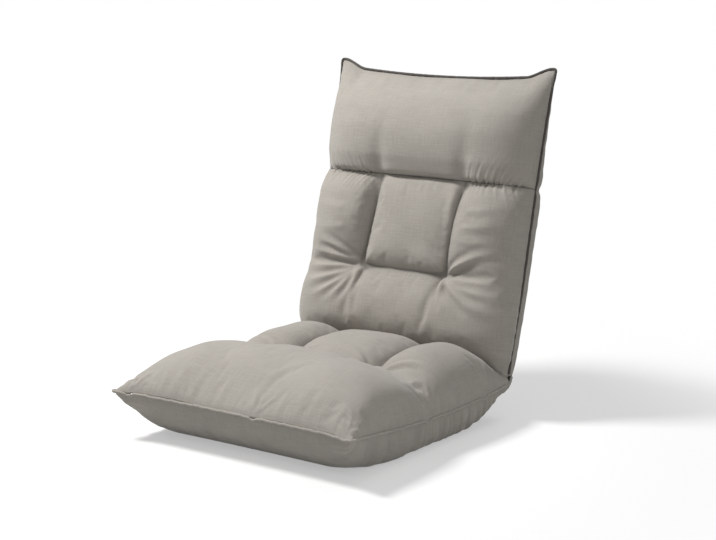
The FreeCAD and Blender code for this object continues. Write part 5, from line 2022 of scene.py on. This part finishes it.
    def piping_runs(self) -> tuple[Array, Array]:
        """Where the dark corded edge runs, a little outside the covers.

        Returns:
            One side of the back from the hinge to the head seam, and the whole edge of the head
            section from its right to its left.
        """
        out = self.piping_outside
        side_y = np.linspace(0.006, self.head_seam, 300)
        side = np.stack([self.edge(side_y) + out, side_y], axis=-1)
        up_y = np.linspace(self.head_seam, self.plan.ear_y, 260)
        drawn = self.drawn_in(self.edge(up_y), up_y)
        right = np.stack([self.edge(up_y) + out, drawn], axis=-1)
        tip = self.plan.half + self.plan.flare + out
        top_x = np.linspace(tip, -tip, 401)[1:-1]
        top = np.stack([top_x, self.plan.ear_y + 1.6 * out - self.plan.end(top_x)], axis=-1)
        over = np.concatenate([right, top, right[::-1] * np.array([-1.0, 1.0])])
        return side, smoothed(over, 10)

    def cord(self, flat: Array, count: int) -> Surface:
        """A cord along a line on the sewn edge, wavy by half a millimetre.

        Args:
            flat: the line, in the plane of the sewn edge.
            count: points along the cord.

        Returns:
            Its surface.
        """
        height = np.full((len(flat), 1), -self.seam_drop)
        path = evenly(np.concatenate([flat, height], axis=1), count)
        steps = np.linalg.norm(np.diff(path, axis=0), axis=1)
        along = np.concatenate(([0.0], np.cumsum(steps)))
        path[:, 2] += 0.0005 * puckers(along, 0.047, 61)
        pinch = 0.0022 * np.exp(-(((path[:, 1] - self.head_seam) / 0.010) ** 2))
        path[:, 0] -= np.sign(path[:, 0]) * (pinch + 0.0004 * puckers(along, 0.035, 62))
        radius = self.piping_radius * (1.0 + 0.06 * puckers(along, 0.02, 63))
        return cord_surface(path, radius, BACK_FRAME)

    def piping(self) -> None:
        """Builds the dark corded edge of the back and of the head section."""
        side, over = self.piping_runs()
        mirrored = side[::-1] * np.array([-1.0, 1.0])
        back = joined(self.cord(side, 200), self.cord(mirrored, 200)).mesh("back_edge_cord")
        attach(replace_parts(back, "back_edge_piping"), "back")
        dress(back, self.finishes, Slot.PIPING)
        head = self.cord(over, 600).mesh("head_edge_cord")
        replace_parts(head, "head_edge_piping")
        dress(head, self.finishes, Slot.PIPING)
        self.bend_at_head(head)


@dataclass
class HingeCover:
    """The cloth round the outside of the seat hinge, from the seat's underside to the back."""

    finishes: Finishes
    half: float = 0.260
    inset: float = 0.016
    inner: float = 0.017
    outer: float = 0.037
    thickness: float = 0.0025

    def build(self) -> None:
        """Builds the cloth: its radius from the hinge grows from the sewn edge as a quarter of an
        ellipse, and it turns about the hinge from the seat's underside to the back's rear side.
        """
        lap = lap_round(22, 40)
        low, high = math.radians(SEAT_FRAME.turn_deg - 1.0), math.radians(BACK_FRAME.turn_deg + 1.0)
        angle, i = np.meshgrid(np.linspace(low, high, 44), lap.inset, indexing="ij")
        x = lap.sign * (self.half - self.inset * i) * (1 - lap.flat)
        radius = self.inner + (self.outer - self.inner) * lap.depth
        radius = radius + 0.0008 * puckers(angle * self.outer, 0.012, 71) * lap.depth
        points = np.stack([x, radius * np.sin(angle), -radius * np.cos(angle)], axis=-1)
        world = points + np.array(SEAT_HINGE)
        piece = shell_surface(world, cloth_coordinates(world), self.thickness).mesh("hinge_cover")
        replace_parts(piece, "hinge_fold_cloth")
        dress(piece, self.finishes, Slot.CLOTH)
        bend_at_crease(piece)


# Steel, foam and zip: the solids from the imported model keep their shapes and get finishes


def pair(name: str) -> tuple[str, str]:
    """The left and right names of a part."""
    return f"{name}_left", f"{name}_right"


KEPT_SOLIDS = {
    Slot.FOAM: ("seat_foam_core", "back_foam_core", "head_foam_core"),
    Slot.ELASTIC: ("seat_elastic_bands", "back_elastic_bands"),
    Slot.PAINT: (
        "seat_frame_tube", "seat_rear_cross_tube", "seat_middle_cross_tube",
        "back_lower_cross_tube", "back_upper_cross_tube", "head_frame_tube",
        *pair("back_side_rail"),
    ),
    Slot.HINGE: (
        *pair("seat_hinge_outer_plate"), *pair("seat_hinge_inner_plate"),
        *pair("head_hinge_outer_plate"), *pair("head_hinge_inner_plate"),
        *pair("seat_toothed_arm"), *pair("head_toothed_arm"),
        *pair("seat_pawl"), *pair("head_pawl"),
    ),
    Slot.RIVET: (
        "seat_pivot_rivets", "head_pivot_rivets", "seat_case_rivets", "head_case_rivets",
        "seat_frame_rivets", "back_frame_rivets", "head_frame_rivets",
    ),
    Slot.SPRING: (*pair("seat_pawl_spring"), *pair("head_pawl_spring")),
    Slot.ZIP_TAPE: ("zip_tape",),
    Slot.ZIP_METAL: ("zip_slider",),
}


@dataclass
class KeptSolids:
    """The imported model's own solids, which get a finish each."""

    finishes: Finishes

    def build(self) -> None:
        """Puts each finish on its solids."""
        for slot, names in KEPT_SOLIDS.items():
            for name in names:
                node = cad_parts[name]
                node.data.materials.clear()
                node.data.materials.append(self.finishes[slot])
                log.info("%s: %s", name, slot.value)


# Studio


@dataclass
class Studio:
    """A pale floor, soft lights and a camera at the photograph's angle."""

    azimuth: float = 36.2
    elevation: float = 10.9
    distance: float = 3.419
    target: tuple[float, float, float] = (-0.010, 0.1485, 0.294)
    lens: float = 85.5

    def camera(self) -> None:
        """Sets the camera on a sphere round its target."""
        a, e = math.radians(self.azimuth), math.radians(self.elevation)
        back = Vector((math.sin(a) * math.cos(e), -math.cos(a) * math.cos(e), math.sin(e)))
        data = bpy.data.cameras.new("camera")
        data.lens = self.lens
        data.sensor_width = 36.0
        camera = bpy.data.objects.new("camera", data)
        camera.location = Vector(self.target) + back * self.distance
        camera.rotation_mode = "QUATERNION"
        camera.rotation_quaternion = (-back).to_track_quat("-Z", "Y")
        bpy.context.scene.collection.objects.link(camera)
        bpy.context.scene.camera = camera

    def lamp(self, name: str, place: tuple[float, float, float], size: float, power: float) -> None:
        """A square lamp that faces the chair.

        Args:
            name: its name.
            place: where it stands.
            size: the length of its side.
            power: watts.
        """
        data = bpy.data.lights.new(name, "AREA")
        data.shape = "SQUARE"
        data.size = size
        data.energy = power
        lamp = bpy.data.objects.new(name, data)
        lamp.location = place
        aim = Vector((0.0, 0.1, 0.25)) - Vector(place)
        lamp.rotation_mode = "QUATERNION"
        lamp.rotation_quaternion = aim.to_track_quat("-Z", "Y")
        bpy.context.scene.collection.objects.link(lamp)

    def pale_material(self) -> bpy.types.Material:
        """The floor: matt and nearly white round the chair, and plain white further off.

        Camera, glossy and transmission rays see plain white by a share that rises from 0.4 to 1
        between 0.55 m and 1.25 m from the chair, so that the shadow near it stays. For other rays
        the floor is a mid grey, so that it throws little light up at the cloth.

        Returns:
            The material.
        """
        bench = NodeBench("pale_floor")
        bench.set(roughness=0.9, specular_ior_level=0.1)
        grain = bench.noise(bench.place("Object", (3.0, 3.0, 3.0)), 2.0)
        path = bench.node("LightPath").outputs
        seen = bench.math("MAXIMUM", path["Is Camera Ray"], path["Is Glossy Ray"])
        seen = bench.math("MAXIMUM", seen, path["Is Transmission Ray"])
        mottle = bench.spread(grain, 0.995, 1.005)
        value = bench.math("MULTIPLY", mottle, bench.spread(seen, 0.55, 1.0))
        bench.paint((0.93, 0.93, 0.925), value)
        centre = bench.node("VectorMath", operation="DISTANCE")
        bench.link(bench.place("Object", (1.0, 1.0, 1.0)), centre.inputs[0])
        centre.inputs[1].default_value = (0.0, 0.08, 0.0)
        away = bench.node("MapRange", interpolation_type="SMOOTHSTEP")
        away.inputs["From Min"].default_value = 0.55
        away.inputs["From Max"].default_value = 1.25
        away.inputs["To Min"].default_value = 0.4
        bench.link(centre.outputs["Value"], away.inputs["Value"])
        white = bench.node("Emission")
        white.inputs["Color"].default_value = (1.0, 1.0, 1.0, 1.0)
        mix = bench.node("MixShader")
        bench.link(bench.math("MULTIPLY", away.outputs["Result"], seen), mix.inputs["Fac"])
        bench.link(bench.shader.outputs["BSDF"], mix.inputs[1])
        bench.link(white.outputs["Emission"], mix.inputs[2])
        bench.link(mix.outputs["Shader"], bench.tree.nodes["Material Output"].inputs["Surface"])
        return bench.material

    def floor(self) -> None:
        """A flat floor under everything, a hair below the chair."""
        side = np.linspace(-6.0, 6.0, 5)
        y, x = np.meshgrid(side, side, indexing="ij")
        grid = np.stack([x, y, np.full(x.shape, -0.0005)], axis=-1)
        made = Surface(
            grid.reshape(-1, 3), grid_quads(5, 5), np.zeros((0, 3), int),
            grid[..., :2].reshape(-1, 2), np.zeros(25),
        ).mesh("studio_floor")
        made.data.materials.append(self.pale_material())

    def world(self) -> None:
        """White wherever the camera, glossy or transmission rays see it, and dim for lighting."""
        world = bpy.data.worlds.new("studio_world")
        world.use_nodes = True
        tree = world.node_tree
        background = tree.nodes["Background"]
        background.inputs["Color"].default_value = (1.0, 1.0, 1.0, 1.0)
        path = tree.nodes.new("ShaderNodeLightPath")
        seen = path.outputs["Is Camera Ray"]
        for name in ("Is Glossy Ray", "Is Transmission Ray"):
            top = tree.nodes.new("ShaderNodeMath")
            top.operation = "MAXIMUM"
            tree.links.new(seen, top.inputs[0])
            tree.links.new(path.outputs[name], top.inputs[1])
            seen = top.outputs[0]
        strength = tree.nodes.new("ShaderNodeMapRange")
        strength.inputs["To Min"].default_value = 0.25
        strength.inputs["To Max"].default_value = 1.0
        tree.links.new(seen, strength.inputs["Value"])
        tree.links.new(strength.outputs["Result"], background.inputs["Strength"])
        bpy.context.scene.world = world

    def build(self) -> None:
        """Builds the studio and sets the plain view transform."""
        self.camera()
        self.floor()
        self.world()
        self.lamp("key_lamp", (-1.50, -0.55, 2.40), 0.6, 84.0)
        self.lamp("rear_lamp", (0.2, 2.0, 2.3), 1.2, 16.0)
        self.lamp("fill_lamp", (2.6, -1.6, 1.1), 1.8, 22.0)
        bpy.context.scene.view_settings.view_transform = "Standard"


def main() -> None:
    """Builds every piece in order and reports each one."""
    logging.basicConfig(level=logging.INFO, format="%(message)s")
    Studio().build()
    finishes = {slot: finish.material() for slot, finish in FINISH_OF.items()}
    for part in (KeptSolids, SeatCushion, BackCushion, HingeCover):
        part(finishes).build()


if __name__ == "__main__":
    main()
